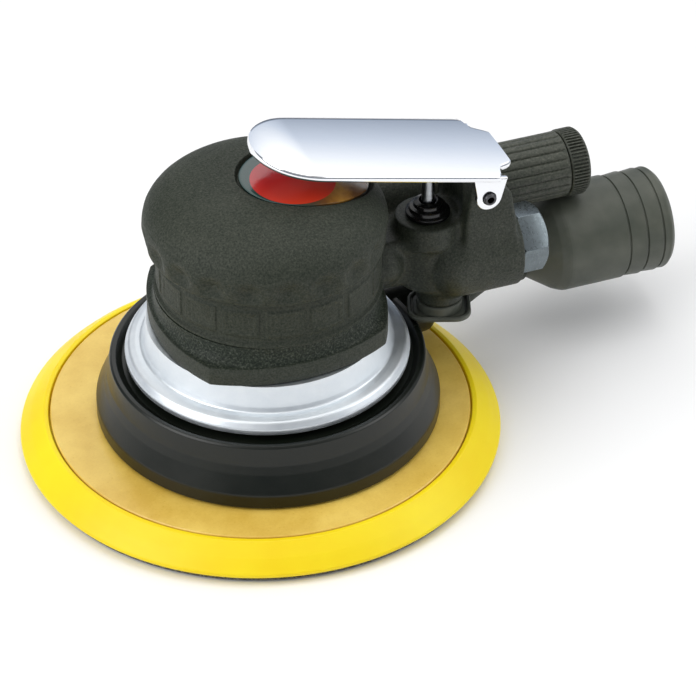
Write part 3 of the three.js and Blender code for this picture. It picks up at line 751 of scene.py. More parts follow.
GRIP = grained("grip_rubber", (0.010, 0.016, 0.009), (0.040, 0.045, 0.032), 0.32, 0.6, 0.4)
PLASTIC = grained("housing_plastic", (0.009, 0.014, 0.008), (0.042, 0.047, 0.034), 0.32, 0.46, 0.4)
SILENCER_PLASTIC = grained("silencer_plastic", (0.030, 0.036, 0.026), (0.080, 0.084, 0.066), 0.4, 0.42, 0.25)
FLANGE_PLASTIC = make_flange_plastic()
HOSE_PLASTIC = make_smooth_plastic()
RUBBER = make_rubber()
SEAL = make_seal()
ALUMINIUM = make_aluminium()
CHROME = make_chrome()
STEEL = make_steel()
DARK_STEEL = make_steel("dark_steel", (0.09, 0.09, 0.095), 0.36)
BLUED_STEEL = make_steel("blued_steel", (0.17, 0.20, 0.215), 0.3)
BRASS = make_steel("brass", (0.68, 0.50, 0.2), 0.3)
FOAM = make_foam()
PLATE = make_plate()
HOOKS = make_hooks()
LABEL = make_label()
FELT = make_felt()
PHENOLIC = make_phenolic()


# ------------------------------------------------------------------ pieces and their bodies
def settle(obj, body, slot, *nodes):
    """Puts a finished piece on its body, in place of its CAD nodes."""
    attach(obj, body)
    if nodes:
        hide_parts(*nodes)


def dust_cutters(low, high):
    places = [TAU * i / DUST_HOLES for i in range(DUST_HOLES)]
    return [cylinder(DUST_RADIUS, low, high,
                     (PAD_X + DUST_CIRCLE * math.cos(a), PAD_Y + DUST_CIRCLE * math.sin(a)))
            for a in places]


def build_pad():
    at = (PAD_X, PAD_Y)
    foam_profile = [
        (0, 1.1), (73.2, 1.1, 0.6), (75, 2.5, 1.0), (75, 3.5, 1.4), (71.6, 7.0, 14), (67.4, PAD_TOP, 0.7),
        (66.0, PAD_TOP, 0.35), (65.7, 7.9), (15, 7.9), (15, 4.7), (0, 4.7),
    ]
    foam = revolve("pad_foam_skin", foam_profile, FOAM, 256, at, longest=6)
    combine(foam, dust_cutters(0, 9))
    settle(foam, "pad", "foam_yellow", "pad_foam")

    plate_profile = [(4.4, 8.2), (65.3, 8.2), (65.4, 10.0, 0.3), (65.1, PAD_TOP, 0.2), (4.4, PAD_TOP)]
    plate = revolve("backing_plate", plate_profile, PLATE, 256, at, closed=True, longest=6)
    combine(plate, dust_cutters(7, 11))
    settle(plate, "pad", "plate_tan", "pad_backing_plate")

    hook_profile = [(0, 0), (73.0, 0, 0.3), (73.4, 0.4, 0.2), (73.2, 0.8, 0.2), (0, 0.8)]
    hooks = revolve("hook_pad", hook_profile, HOOKS, 256, at, longest=6)
    combine(hooks, dust_cutters(-1, 2))
    settle(hooks, "pad", "hook_grey", "hook_face")


def build_shroud():
    profile = [
        (51.0, 11.0), (53.4, 11.0, 0.5), (53.4, 15.6, 2.5), (50.7, 21.4, 6), (49.7, 24.2, 3),
        (48.7, 30.0, 0.5), (48.1, 30.6, 0.4), (46.8, 30.5, 0.6), (44.9, 29.0, 0.8), (40.6, 29.0),
        (40.6, 27.0), (46.2, 27.0, 0.8), (47.2, 22.6, 3), (50.2, 17.4, 3), (51.0, 15.0, 1),
    ]
    shroud = revolve("shroud_skin", profile, RUBBER, 256, closed=True, longest=2.5)
    start, end = np.array([43, 15.2, 21.6]), np.array([57.5, 17.6, 22.4])
    collar = sweep("collar", start, end, [(10, 0), (10, 0.94), (9.6, 1.0)])
    inner = revolve("inner", [(0, 5), (50.6, 5), (50.6, 15), (46.4, 22.6), (46.4, 26.9), (0, 26.9)],
                    None, 128, longest=1000)
    combine(collar, [inner])
    combine(shroud, [collar], "UNION")
    past = (end - start) * 0.3
    bore = sweep("bore", start - past, end + past, [(8.2, 0), (8.2, 1)])
    combine(shroud, [bore])
    settle(shroud, "housing", "black_rubber", "shroud")


def sweep(name, start, end, radii):
    """A straight round bar between two points, with (radius, share of the way) stops."""
    axis = (end - start) / np.linalg.norm(end - start)
    loops = [round_ring(start + (end - start) * share, axis, radius) for radius, share in radii]
    return loft(name, loops, None)


def build_ring():
    profile = [
        (41.2, 31.2), (43.7, 31.2, 0.4), (43.9, 33.2, 1.2), (42.6, 35.2, 1.4), (40.6, 35.7, 1.2),
        (38.9, 35.9, 0.9), (38.2, 37.4, 1.6), (37.0, 44.2), (31.8, 44.2), (31.8, 51.5), (29.6, 51.5),
        (29.6, 45.2), (18.5, 45.2), (18.5, 42.2), (33.5, 42.2), (35, 38.4), (38.2, 34.2), (41.2, 32.4),
    ]
    ring = revolve("lock_ring_skin", profile, ALUMINIUM, 256, closed=True, longest=2)
    settle(ring, "housing", "aluminium", "lock_ring")


def flange_outline():
    """A square with bowed sides and slightly rounded corners."""
    middle, corner, soft = 35.6, 39.6, 1.6
    tip = corner / math.sqrt(2)
    hub = (middle ** 2 - 2 * tip ** 2) / (2 * (middle - tip))
    bow = middle - hub
    reach = math.atan2(tip, tip - hub)
    outline = []
    for side in range(4):
        turn = side * math.pi / 2
        for a in np.linspace(-reach, reach, 60)[:-1]:
            x, y = hub + bow * math.cos(a), bow * math.sin(a)
            outline.append((x * math.cos(turn) - y * math.sin(turn),
                            x * math.sin(turn) + y * math.cos(turn), soft if a == -reach else 0))
    return np.array(refined(rounded(outline, True, 15), 0.8, closed=True))


def build_flange():
    """The squarish flange, with a coarse cove that runs up to the lip of the grip cover."""
    low, edge, top, neck, seat = 44.5, 50.5, 56.2, 34.2, 32.1
    outline = flange_outline()
    inward = inward_normals(outline)
    spread = np.hypot(*outline.T)[:, None]
    circle = outline / spread
    rim = [(0.35, low), (0.1, low + 0.1), (0, low + 0.35), (0, edge - 0.35), (0.1, edge - 0.1),
           (0.35, edge), (0.75, edge + 0.02)]
    loops = [(outline + inward * inset, height) for inset, height in rim]
    start = loops[-1][0]
    for k in range(1, 15):
        turn = math.pi / 2 * k / 14
        flat = start + (circle * neck - start) * math.sin(turn)
        loops.append((flat, edge + (top - edge) * (1 - math.cos(turn))))
    loops += [(circle * radius, height) for radius, height in
              ((31.2, top), (31.2, 52.2), (seat, 52.1), (seat, low))]
    loops = [np.column_stack([flat, np.full(len(flat), height)]) for flat, height in loops]
    flange = close_loops("flange_skin", loops, FLANGE_PLASTIC, 40)
    settle(flange, "housing", "housing_plastic", "motor_housing")


def build_can():
    """The motor's cylinder, mostly hidden under the grip cover."""
    profile = [(0, 84.6), (24, 84.6), (24, 79.8), (30, 79.8), (30, 52.1), (31.6, 52.1), (31.6, 80.8, 0.6),
               (25.8, 85.8, 0.6), (20, 88.6, 2), (0, 89.6)]
    can = revolve("motor_can", profile, PLASTIC, 192, longest=4)
    settle(can, "housing", "housing_plastic", "motor_housing")


def build_housing():
    f = Field((17, -16, 35), (81.5, 37, 86.5), 0.42)
    bulb = np.minimum(f.egg((59.3, 0, INLET_Z), (10.8, 13.7, 13.7)),
                      f.rod("X", (0, INLET_Z), 13.7, 59.3, 80, 0.7))
    neck = f.rod("Z", (REGULATOR_X, 0), 7.4, 36.6, 52, 0.7)
    tower = blend(f.rod("Z", (VALVE_X, 0), 10.2, 60.5, 68.4, 0.6),
                  f.rod("Z", (VALVE_X, 0), 8.6, 44, 64, 1), 3)
    boss = blend(tower, neck, 6)
    throttle = blend(bulb, boss, 0.5)
    lug = carve(f.plank(lug_outline(), 12, 1.2), f.rod("Z", (VALVE_X, 0), 10.8, 68.4, 95), 0.5)
    throttle = blend(throttle, lug, 4)
    web = f.block((22, -4.8, 46), (VALVE_X, 10.5, 63), 2)
    shoulder = f.rod("X", (-1, 54.6), 7.7, 10, 43.9, 7.7)
    exhaust = f.rod("X", (SILENCER_Y, SILENCER_Z), 11, 22, 75.7, 0.8)
    bridge = f.block((40, 2, 50), (70, 22, 60), 3)
    throttle = blend(blend(throttle, web, 3), shoulder, 1.2)
    body = blend(blend(throttle, bridge, 4), exhaust, 4)
    for hollow in housing_hollows(f):
        body = carve(body, hollow)
    housing = skin("motor_housing_skin", f, body, PLASTIC)
    settle(housing, "housing", "housing_plastic", "motor_housing")


def lug_outline():
    """The upright that carries the lever pin, as anticlockwise (x, z) corners."""
    around = [(PIVOT[0] + 4 * math.cos(a), PIVOT[2] + 4 * math.sin(a))
              for a in np.radians(np.linspace(54, 173, 14))]
    rear = [(60.5, 55), (77.5, 55), (77.5, 66), (75.6, 77), (75.2, 77.9), (74.4, 78.6), (72.6, 80)]
    return rear + around + [(60.5, 70)]


def housing_hollows(f):
    return [
        f.rod("Z", (0, 0), 30.6, 20, 78),
        f.rod("Z", (VALVE_X, 0), 6, 60, 75),
        f.rod("Z", (VALVE_X, 0), 4.5, 55, 61),
        f.rod("Z", (VALVE_X, 0), 7, 44.4, 56),
        f.rod("Z", (REGULATOR_X - 2, 0), 2.5, 41, 46),
        f.rod("Z", (REGULATOR_X, 0), 5.9, 30, 42.5),
        f.rod("X", (0, INLET_Z), 5.5, VALVE_X, 75),
        f.rod("X", (0, INLET_Z), 9, 68.5, 90),
        f.rod("X", (SILENCER_Y, SILENCER_Z), 8.2, 14, 80),
        f.rod("Y", (PIVOT[0], PIVOT[2]), 2.3, -30, 30),
    ]


# ------------------------------------------------------------------ grip cover and label
# The dome from its crease to the crown, with rounding radii.
DOME = [
    (36.0, 72.8, 1.6), (36.3, 75, 8), (36.8, 77.8, 8), (36.95, 80, 8), (36.5, 82.8, 10), (34.6, 85.9, 10),
    (31.5, 88.6, 12), (27, 90.9, 16), (21, 92.8, 24), (14, 93.7, 30), (0, 94.2),
]
CAVITY = [(0, 89.9), (20.1, 88.9), (26, 86.2), (31.9, 81)]
LABEL_CENTRE = 12.6
LABEL_HALF = (20.8, 17.6)
LABEL_DEPTH = 1.6


def cover_profile():
    """Outside of the cover from its lip to the crown, then back down the inside."""
    neck = [(31.9, 56.4), (34.8, 56.4, 0.3), (34.8, 57.3, 0.35), (33.9, 57.9, 0.3), (33.9, 71.3, 0.4)]
    return neck + DOME + CAVITY + [(31.9, 56.8, 0.2)]


def label_distance(x, y):
    """How far a point lies outside the label's oval recess, negative inside."""
    across, along = (x - LABEL_CENTRE) / LABEL_HALF[0], y / LABEL_HALF[1]
    size = np.hypot(across, along)
    slope = np.hypot(across / LABEL_HALF[0], along / LABEL_HALF[1])
    return size * (size - 1) / np.maximum(slope, 1e-6)


def smooth_step(value, low, high):
    t = np.clip((value - low) / (high - low), 0, 1)
    return t * t * (3 - 2 * t)


def cover_relief(angle, radius, height):
    """Height of the cover's finger hollows, neck panels and label recess above its plain form."""
    angle = np.broadcast_to(angle, radius.shape)
    inner = np.interp(radius, *np.transpose(CAVITY))
    outside = (radius > 32.4) | (height > inner + 1)
    relief = neck_panels(angle, height) + finger_hollows(angle, height)
    x, y = radius * np.cos(angle), radius * np.sin(angle)
    recess = -LABEL_DEPTH * (1 - smooth_step(label_distance(x, y), -0.35, 0.25))
    relief = relief + np.where(height > 84, recess, 0)
    return np.where(outside, relief, 0)


def share_of_turn(angle, count):
    """How far an angle is through its own one of count equal parts, from 0 to 1."""
    return (angle / TAU * count) % 1


def neck_panels(angle, height):
    """Low square panels round the neck, parted by narrow grooves."""
    count, low, high, groove = 16, 59.6, 69.4, 0.35
    turn = share_of_turn(angle, count)
    side = np.minimum(turn, 1 - turn) * TAU * 33.9 / count
    end = np.minimum(height - low, high - height)
    inside = np.minimum(side - 0.8, end)
    rim = smooth_step(inside, 0, 0.5) - 0.6 * smooth_step(inside, 1.6, 2.1)
    return groove * rim


def finger_hollows(angle, height):
    """Soft dimples round the lower edge of the dome, with low hills between them."""
    count = 20
    turn = share_of_turn(angle, count) - 0.5
    across = turn * TAU * 37.4 / count / 5.0
    up = (height - 77.4) / 4.4
    away = np.hypot(across, up)
    dimple = -1.7 * (1 - smooth_step(away, 0.0, 1.15))
    hill_turn = (angle / TAU * count + 0.5) % 1 - 0.5
    hill = np.hypot(hill_turn * TAU * 37.4 / count / 4.6, (height - 76.6) / 3.6)
    return dimple + 0.25 * (1 - smooth_step(hill, 0.2, 1.0))


def build_cover():
    def shift(height):
        return 0.8 * (1 - smooth_step(height, 71, 74))

    cover = revolve("grip_cover_skin", cover_profile(), GRIP, 512, closed=True, shape=cover_relief,
                    longest=0.45, shift=shift)
    window = slab("window", rounded([(-14, 50, 2), (38, 50, 2), (38, 71, 4), (-14, 71, 4)], True),
                  20, 60, 0.1, None, place=facing_x(0, 0))
    combine(cover, [window])
    settle(cover, "housing", "grip_rubber", "grip_cover")


def sunk(flat, depth):
    """Points on the dome over flat (x, y) places, sunk along its normal."""
    dome = np.array(rounded(DOME, turn_step=3))[::-1]
    radius = np.hypot(*flat.T)
    height = np.interp(radius, dome[:, 0], dome[:, 1])
    fall = np.arctan(np.interp(radius, dome[:-8, 0], np.gradient(dome[:-8, 1], dome[:-8, 0])))
    shrink = 1 + depth * np.sin(fall) / np.maximum(radius, 1e-6)
    return np.column_stack([flat * shrink[:, None], height - depth * np.cos(fall)])


def build_label():
    """The printed plate, which follows the dome a little below its surface."""
    inset, drop, thick = 0.9, 0.55, 0.7
    angle = np.arange(160) * TAU / 160
    oval = np.column_stack([np.cos(angle), np.sin(angle)])
    hub = np.array([LABEL_CENTRE, 0.0])
    half = np.array(LABEL_HALF) - inset
    shares = np.linspace(0.02, 0.985, 30)
    levels = [(share, drop) for share in shares] + [(1.0, drop + 0.12), (1.0, drop + thick)]
    levels += [(share, drop + thick) for share in shares[::-1]]
    loops = [sunk(hub + oval * half * share, depth) for share, depth in levels]
    label = loft("label_film", loops, LABEL)
    settle(label, "housing", "label_print", "label_plate")


# ------------------------------------------------------------------ throttle
def lever_place(points):
    """Turns the lever's own frame, flat along X with the pin at nought, to its place."""
    points = np.asarray(points, float)
    c, s = math.cos(LEVER_SLOPE), math.sin(LEVER_SLOPE)
    x, y, z = points.T
    return np.column_stack([PIVOT[0] + x * c + z * s, y, PIVOT[2] - x * s + z * c])


def build_lever():
    half, sheet, rise, crown = 17.5, 2.0, 8.8, 0.6
    tip, tail, edge = -73.6, 8.2, 0.55
    stations = [(tip + half - half * math.cos(a), half * math.sin(a))
                for a in np.linspace(0.03, math.pi / 2, 40)]
    stations += [(x, half) for x in np.linspace(tip + half + 1, 0.9, 44)]
    stations += [(1.5, 17.2), (1.9, 16.2), (2.3, 14.6), (2.8, 13.0), (3.4, 12.2), (4.4, 11.5)]
    stations += [(x, 11.5 - (x - 4.4) * 0.54) for x in (5.4, 6.4, 7.4)] + [(7.9, 9.4), (tail, 8.9)]
    loops = []
    for x, width in stations:
        droop = 0.8 * smooth_step(-x, 58, 74)
        loops.append(lever_place(sheet_section(x, width, rise, crown, sheet, edge, half, droop)))
    plate = loft("lever_skin", loops, CHROME, sharp=40)
    settle(plate, "lever", "chrome", "throttle_lever")
    for side in (-1, 1):
        cheek = ear(side)
        bore = cylinder(2.25, -30, 30)
        turn_to_y(bore, PIVOT)
        combine(cheek, [bore], sharp=40)
        settle(cheek, "lever", "chrome", "throttle_lever")


def sheet_section(x, width, rise, crown, sheet, edge, half, droop):
    """A closed loop round the sheet at one station, crowned, with rounded edges."""
    ys = np.linspace(-width + edge, width - edge, 25)
    turn = np.linspace(-math.pi / 2, math.pi / 2, 7)[1:-1]
    middle = rise - sheet / 2 - droop

    def crowned(y):
        return middle - crown * (y / half) ** 2

    top = [(y, crowned(y) + sheet / 2) for y in ys]
    bottom = [(y, crowned(y) - sheet / 2) for y in ys[::-1]]
    right = [(width - edge + edge * math.cos(a), crowned(width) - math.sin(a) * sheet / 2) for a in turn]
    left = [(-width + edge - edge * math.cos(a), crowned(width) + math.sin(a) * sheet / 2) for a in turn]
    loop = np.array(top + right + bottom + left)
    return np.column_stack([np.full(len(loop), x), loop])


def ear(side):
    """A side cheek of the lever, rounded about the pin and set a little inside the sheet's edge."""
    radius, inner, outer = 4.1, 14.5, 16.2
    around = [(radius * math.cos(a), radius * math.sin(a)) for a in np.linspace(math.pi, TAU, 25)]
    outline = [(-7.2, 7.2)] + around + [(4.3, 7.2)]

    def stand(points):
        across = points[:, 2] * side
        return lever_place(np.column_stack([points[:, 0], across, points[:, 1]]))

    return slab("lever_ear", refined(outline, 1.0, True), inner, outer, 0.35, CHROME, place=stand)


def turn_to_y(obj, at):
    """Lays a shape made about the Z axis along Y, through a point."""
    for vertex in obj.data.vertices:
        x, y, z = vertex.co
        vertex.co = (x + at[0] * MM, z, -y + at[2] * MM)


def build_valve():
    guide = [
        (2.5, 61), (5.7, 61, 0.3), (5.7, 68.7), (6.9, 68.7, 0.2), (6.9, 69.8, 0.4), (5.9, 70.3, 0.1),
        (5.8, 71.4, 0.4), (4.5, 71.8, 0.15), (4.4, 72.8, 0.4), (2.9, 73.5, 0.3), (2.5, 73.1),
    ]
    seal = revolve("stem_seal", guide, SEAL, 96, (VALVE_X, 0), closed=True, longest=1)
    settle(seal, "housing", "black_rubber", "stem_guide")
    stem = [
        (0, 46.4), (1.7, 46.4, 0.3), (1.7, 50.4), (5.4, 50.4, 0.2), (5.4, 53, 0.2), (2.0, 53), (2.0, 84.2),
        (1.7, 84.5), (1.7, 85.3), (2.0, 85.6), (2.0, 89.4, 0.6), (1.2, 90.2, 0.8), (0, 90.2),
    ]
    rod = revolve("stem_rod", stem, STEEL, 64, (VALVE_X, 0), longest=3)
    settle(rod, "stem", "steel", "valve_stem")
    half, radius, bore = 17.4, 2.0, 1.1
    pin = [(bore, -half, 0.1), (radius - 0.3, -half, 0.1), (radius, -half + 0.4, 0.2),
           (radius, half - 0.4, 0.2), (radius - 0.3, half, 0.1), (bore, half, 0.1)]
    hinge = revolve("hinge_pin", pin, DARK_STEEL, 48, closed=True, longest=3)
    turn_to_y(hinge, PIVOT)
    settle(hinge, "housing", "steel", "lever_pin")


def build_inlet():
    low, high = span("inlet_bushing")
    start, end = high[0] - 9.5, high[0]
    flats = 19.0
    corner = flats / math.sqrt(3)
    angles = [HEX_TURN + i * math.pi / 3 for i in range(6)]
    hexagon = [(corner * math.cos(a), corner * math.sin(a)) for a in angles]
    prism = slab("hex", refined(hexagon, 2.0, True), start, end, 0.02, BLUED_STEEL,
                 place=facing_x(0, INLET_Z))
    chamfer = [(5.4, start - 1), (flats / 2 - 0.2, start - 1), (flats / 2 - 0.2, start),
               (corner + 0.3, start + 1.35), (corner + 0.3, end - 1.35), (flats / 2 - 0.3, end),
               (flats / 2 - 0.3, end + 1)]
    bore = [(6.6, end + 1), (6.6, end - 0.2), (5.6, end - 1.2)] + inner_thread(end - 1.4, start - 8, 5.5)
    cone = revolve("cone", chamfer + bore, None, 96, (0, INLET_Z), "X", closed=True, longest=1000)
    combine(prism, [cone], "INTERSECT", sharp=20)
    soften(prism, 0.16, 20)
    spigot = [(5.5, low[0]), (8.5, low[0], 0.3), (8.7, low[0] + 1), (8.7, start + 0.2), (5.5, start + 0.2)]
    neck = revolve("bushing_neck", spigot, BLUED_STEEL, 64, (0, INLET_Z), "X", closed=True, longest=2)
    combine(prism, [neck], "UNION", sharp=28)
    settle(prism, "housing", "steel", "inlet_bushing")


def inner_thread(start, stop, radius):
    """Ridges down a bore, from start to stop along the axis."""
    pitch, deep = 1.4, 0.45
    count = int(abs(stop - start) / pitch)
    sign = 1 if stop > start else -1
    profile = []
    for i in range(count):
        profile.append((radius, start + sign * i * pitch))
        profile.append((radius + deep, start + sign * (i + 0.5) * pitch))
    profile.append((radius, start + sign * count * pitch))
    return profile


def soften(obj, width, angle):
    step = obj.modifiers.new("soften", "BEVEL")
    step.width = width * MM
    step.segments = 2
    step.limit_method = "ANGLE"
    step.angle_limit = math.radians(angle)
    apply_modifiers(obj)
    shade(obj, angle)


def build_regulator():
    """A thumb plate with a beaded rim, on the plug that throttles the air."""
    half_long, half_wide, low = 9.9, 8.0, 31.1
    corners = [(half_long, half_wide, 5), (-half_long, half_wide, 5), (-half_long, -half_wide, 5),
               (half_long, -half_wide, 5)]
    outline = np.array(refined(rounded(corners, True, 6), 1.0, True))
    turn = math.radians(-20)
    spin = np.array([[math.cos(turn), math.sin(turn)], [-math.sin(turn), math.cos(turn)]])
    outline = outline @ spin + [REGULATOR_X, 0]
    rises = [(1.0, 0), (0.5, 0.15), (0.1, 0.5), (0, 0.9), (0, 1.4), (0.2, 1.8), (0.55, 2), (0.95, 1.95),
             (1.2, 1.6), (1.3, 1.1), (1.8, 1.1), (1.95, 1.5), (2.3, 1.65), (3.2, 1.65)]
    levels = [(inset, low + rise) for inset, rise in rises]
    plate = terrace("regulator_skin", outline, levels, HOSE_PLASTIC)
    collar = revolve("collar", [(0, low + 1), (7.2, low + 1), (7.2, 35.9, 0.3), (6.8, 36.2), (5.6, 36.2),
                                (5.6, 41.9), (5.2, 42.2), (0, 42.2)], HOSE_PLASTIC, 64, (REGULATOR_X, 0))
    for piece in (plate, collar):
        settle(piece, "regulator", "housing_plastic", "speed_regulator")


# ------------------------------------------------------------------ silencer, duct and hose tail
def build_silencer():
    start = span("silencer_insert")[0][0] - 2.3
    end = span("silencer_body")[1][0]
    radius = 10.6
    at = (SILENCER_Y, SILENCER_Z)

    def flutes(angle, ring, distance):
        count = 22
        turn = share_of_turn(angle, count)
        groove = 0.45 * np.exp(-((turn - 0.5) / 0.1) ** 2) + 0.18 * np.exp(-((turn - 0.5) / 0.3) ** 2)
        run = (smooth_step(distance, start + 0.9, start + 1.8)
               * (1 - smooth_step(distance, end - 1.2, end - 0.6)))
        return np.where(ring > radius - 0.5, -groove * run, 0)

    body = [(5.4, 66), (7.4, 66, 0.3), (7.6, 67), (7.6, start + 0.2), (radius - 0.4, start + 0.2, 0.3),
            (radius, start + 0.8, 0.4), (radius, end - 0.3, 0.3), (radius - 0.4, end), (8.4, end),
            (8.4, start + 2), (5.4, start + 2)]
    shell = revolve("silencer_skin", body, SILENCER_PLASTIC, 528, at, "X", closed=True, shape=flutes,
                    longest=1.2)
    settle(shell, "housing", "housing_plastic", "silencer_body")
    build_silencer_cap(at)


def build_silencer_cap(at):
    low, high = span("silencer_cap")
    start, end = low[0], high[0]
    radius = 10.9

    def knurl(angle, ring, distance):
        count = 60
        turn = share_of_turn(angle, count)
        rib = smooth_step(np.abs(turn - 0.5), 0.16, 0.34)
        run = (smooth_step(distance, start + 0.3, start + 0.6)
               * (1 - smooth_step(distance, end - 1.2, end - 0.8)))
        return np.where(ring > radius - 0.7, -0.8 * (1 - rib) * run, 0)

    cap = [(0, start), (radius - 0.4, start), (radius, start + 0.35, 0.2), (radius, end - 1.5, 0.8),
           (radius - 0.9, end - 0.4, 0.6), (radius - 1.7, end, 0.3), (7.7, end), (7.4, end - 0.6),
           (0, end - 0.6)]
    lid = revolve("silencer_lid", cap, SILENCER_PLASTIC, 720, at, "X", shape=knurl, longest=0.7)
    slots = []
    for offset in (-5.7, -1.9, 1.9, 5.7):
        reach = math.sqrt(6.9 ** 2 - offset ** 2)
        outline = rounded([(offset - 0.8, -reach, 0.78), (offset + 0.8, -reach, 0.78),
                           (offset + 0.8, reach, 0.78), (offset - 0.8, reach, 0.78)], True)
        slots.append(slab("slot", outline, start - 1, end + 1, 0.01, None, place=facing_x(*at)))
    combine(lid, slots)
    settle(lid, "housing", "housing_plastic", "silencer_cap")


def build_hose_tail():
    low, high = span("hose_tail")
    start, end = low[0], high[0]
    full, bore, deep = 17.0, 13.8, 0.8
    profile = [(8.5, start), (9.2, start, 0.3), (9.9, start + 0.7, 1), (full - 1.3, start + 9.2, 2.5),
               (full, start + 12.2, 4)]
    for groove in (end - 16.0, end - 9.8, end - 4.1):
        profile += [(full, groove - 0.5, 0.2), (full - deep, groove - 0.3, 0.1),
                    (full - deep, groove + 0.3, 0.1), (full - 0.35, groove + 0.45, 0.15),
                    (full - 0.3, groove + 1.6)]
    profile += [(full - 0.1, end - 1.4, 0.9), (full - 1.4, end, 0.5), (bore + 0.4, end, 0.3),
                (bore, end - 0.8), (bore, start + 10.2, 1), (11.8, start + 7.8, 0.6), (8.5, start + 7.8)]
    tail = revolve("hose_tail_skin", profile, HOSE_PLASTIC, 256, (HOSE_Y, HOSE_Z), "X", closed=True,
                   longest=1.5)
    settle(tail, "tail", "housing_plastic", "hose_tail")


DUCT_BORE = 6.2


def build_duct():
    path = [(47.4, 15.9, 21.8), (57.5, 17.6, 22.4), (67, 19.2, 25), (76, 21.6, 28), (85, HOSE_Y, HOSE_Z),
            (94, HOSE_Y, HOSE_Z), (104.4, HOSE_Y, HOSE_Z)]
    centres, runs = smooth_route(np.array(path, float), 150)
    travelled = np.concatenate([[0], np.cumsum(np.linalg.norm(np.diff(centres, axis=0), axis=1))])
    long = travelled[-1]
    outer = rounded([(0, 7.9), (12.6, 7.9, 0.3), (13.2, 9.6, 0.6), (long - 17.5, 9.6, 3),
                     (long - 14.2, 10.8, 1), (long - 10.8, 10.8, 0.4), (long - 10.7, 8.1),
                     (long - 8.0, 8.1), (long - 7.9, 7.1), (long - 6.1, 7.1), (long - 6.0, 8.1),
                     (long - 0.5, 8.1, 0.3), (long, 7.7)])
    stops, radii = np.array(outer).T
    stops = np.maximum.accumulate(stops + np.arange(len(stops)) * 1e-6)
    between = np.linspace(13.4, long - 18, 40)
    stations = sorted(set(stops) | set(between))
    loops = [ring_at(centres, runs, travelled, s, np.interp(s, stops, radii)) for s in stations]
    loops += [ring_at(centres, runs, travelled, s, DUCT_BORE) for s in np.linspace(long, 0, 50)]
    duct = close_loops("vacuum_duct_skin", loops, PLASTIC)
    settle(duct, "housing", "housing_plastic", "vacuum_duct")


def smooth_route(points, count):
    """Points and directions along a smooth curve through the given ones."""
    tangents = np.gradient(points, axis=0)
    spots = []
    for t in np.linspace(0, len(points) - 1 - 1e-9, count):
        i, u = int(t), t - int(t)
        a, b, ta, tb = points[i], points[i + 1], tangents[i], tangents[i + 1]
        spots.append((2 * u**3 - 3 * u**2 + 1) * a + (u**3 - 2 * u**2 + u) * ta
                     + (3 * u**2 - 2 * u**3) * b + (u**3 - u**2) * tb)
    spots = np.array(spots)
    runs = np.gradient(spots, axis=0)
    runs /= np.linalg.norm(runs, axis=1)[:, None]
    return spots, runs


def ring_at(centres, runs, travelled, stop, radius):
    spot = np.array([np.interp(stop, travelled, centres[:, k]) for k in range(3)])
    axis = np.array([np.interp(stop, travelled, runs[:, k]) for k in range(3)])
    return round_ring(spot, axis / np.linalg.norm(axis), radius)


def close_loops(name, loops, look, sharp=32):
    """A skin whose last loop joins its first, such as a pipe's outside and inside."""
    points = np.stack(loops)
    return make(name, *stitch(points, np.ones(len(loops)), True), look, sharp)


# ------------------------------------------------------------------ inner pieces, kept from the frame
INNER_LOOKS = {
    "steel": STEEL, "aluminium": ALUMINIUM, "brass": BRASS, "vane_brown": PHENOLIC, "felt_grey": FELT,
    "black_rubber": RUBBER, "housing_plastic": PLASTIC, "chrome": CHROME, "grip_rubber": GRIP,
    "foam_yellow": FOAM, "plate_tan": PLATE, "hook_grey": HOOKS, "label_print": LABEL,
}


def dress_inner_pieces():
    """Gives each CAD node the finish of its slot in the record."""
    slots = {row["node"]: row["material_slot"] for row in frame["record"]["subparts"]}
    for name, node in frame["nodes"].items():
        look = INNER_LOOKS[slots[name]]
        if not node.material_slots:
            node.data.materials.append(look)
        for place in node.material_slots:
            place.material = look


# ------------------------------------------------------------------ stage
VIEW_TARGET = Vector((26.56, 0.07, 23.71)) * MM
VIEW_AZIMUTH = math.radians(-21)
VIEW_ELEVATION = math.radians(37)
VIEW_DISTANCE = 1.0
LENS = 166.0


def build_stage():
    floor_half, floor_drop = 6.0, 0.0004
    corners = [(-floor_half, -floor_half, 0), (floor_half, -floor_half, 0), (floor_half, floor_half, 0),
               (-floor_half, floor_half, 0)]
    mesh = bpy.data.meshes.new("floor")
    mesh.from_pydata(corners, [], [(0, 1, 2, 3)])
    floor = add_object("floor", mesh)
    floor.location.z = -floor_drop
    look = Look("floor", (0.93, 0.93, 0.93), 0.9)
    mesh.materials.append(look.material)

    softbox("left", (-1.15, -0.15, 0.85), 1.0, 11)
    softbox("top", (0.0, -0.1, 1.4), 1.0, 4)
    softbox("right", (1.1, -0.55, 0.8), 0.8, 5)
    build_world()
    build_camera()


def softbox(name, place, size, power):
    lamp = bpy.data.lights.new(name, "AREA")
    lamp.shape = "SQUARE"
    lamp.size = size
    lamp.energy = power
    obj = add_object(name, lamp)
    obj.location = place
    obj.rotation_euler = (VIEW_TARGET - Vector(place)).to_track_quat("-Z", "Y").to_euler()


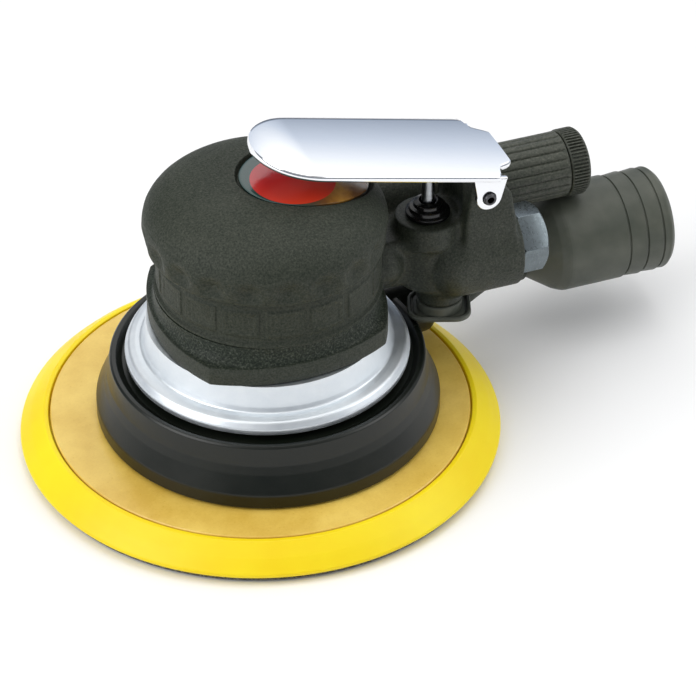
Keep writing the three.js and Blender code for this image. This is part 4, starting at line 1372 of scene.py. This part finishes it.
def build_world():
    """A pale studio that darkens to blue-grey near the horizon, as polished metal shows it."""
    world = bpy.data.worlds.new("studio")
    world.use_nodes = True
    bpy.context.scene.world = world
    tree = world.node_tree
    direction = tree.nodes.new("ShaderNodeTexCoord").outputs["Generated"]
    split = tree.nodes.new("ShaderNodeSeparateXYZ")
    tree.links.new(direction, split.inputs[0])
    ramp = tree.nodes.new("ShaderNodeValToRGB")
    tree.links.new(split.outputs["Z"], ramp.inputs["Fac"])
    fill_ramp(ramp.color_ramp, [(0.0, (0.42, 0.45, 0.50)), (0.16, (0.27, 0.33, 0.44)),
                                (0.34, (0.62, 0.68, 0.78)), (0.46, (1.0, 1.0, 1.0))])
    background = tree.nodes["Background"]
    tree.links.new(ramp.outputs["Color"], background.inputs["Color"])
    tree.links.new(world_strength(tree, direction), background.inputs["Strength"])


def world_strength(tree, direction):
    """Brighter round one high point behind the tool, which gives the lever its white sheen."""
    toward = tree.nodes.new("ShaderNodeVectorMath")
    toward.operation = "DOT_PRODUCT"
    tree.links.new(direction, toward.inputs[0])
    toward.inputs[1].default_value = (0.40, 0.50, 0.766)
    glow = tree.nodes.new("ShaderNodeMapRange")
    tree.links.new(toward.outputs["Value"], glow.inputs["Value"])
    for name, value in (("From Min", 0.68), ("From Max", 0.92), ("To Min", 0.42), ("To Max", 1.35)):
        glow.inputs[name].default_value = value
    return glow.outputs["Result"]


def build_camera():
    camera = bpy.data.cameras.new("camera")
    camera.lens = LENS
    camera.sensor_width = 36
    camera.clip_start = 0.05
    obj = add_object("camera", camera)
    back = Vector((math.sin(VIEW_AZIMUTH) * math.cos(VIEW_ELEVATION),
                   -math.cos(VIEW_AZIMUTH) * math.cos(VIEW_ELEVATION), math.sin(VIEW_ELEVATION)))
    obj.location = VIEW_TARGET + back * VIEW_DISTANCE
    obj.rotation_euler = back.to_track_quat("Z", "Y").to_euler()
    bpy.context.scene.camera = obj
    bpy.context.scene.view_settings.view_transform = "Standard"


build_stage()
dress_inner_pieces()
build_pad()
build_shroud()
build_ring()
build_flange()
build_can()
build_housing()
build_cover()
build_label()
build_lever()
build_valve()
build_inlet()
build_regulator()
build_silencer()
build_duct()
build_hose_tail()
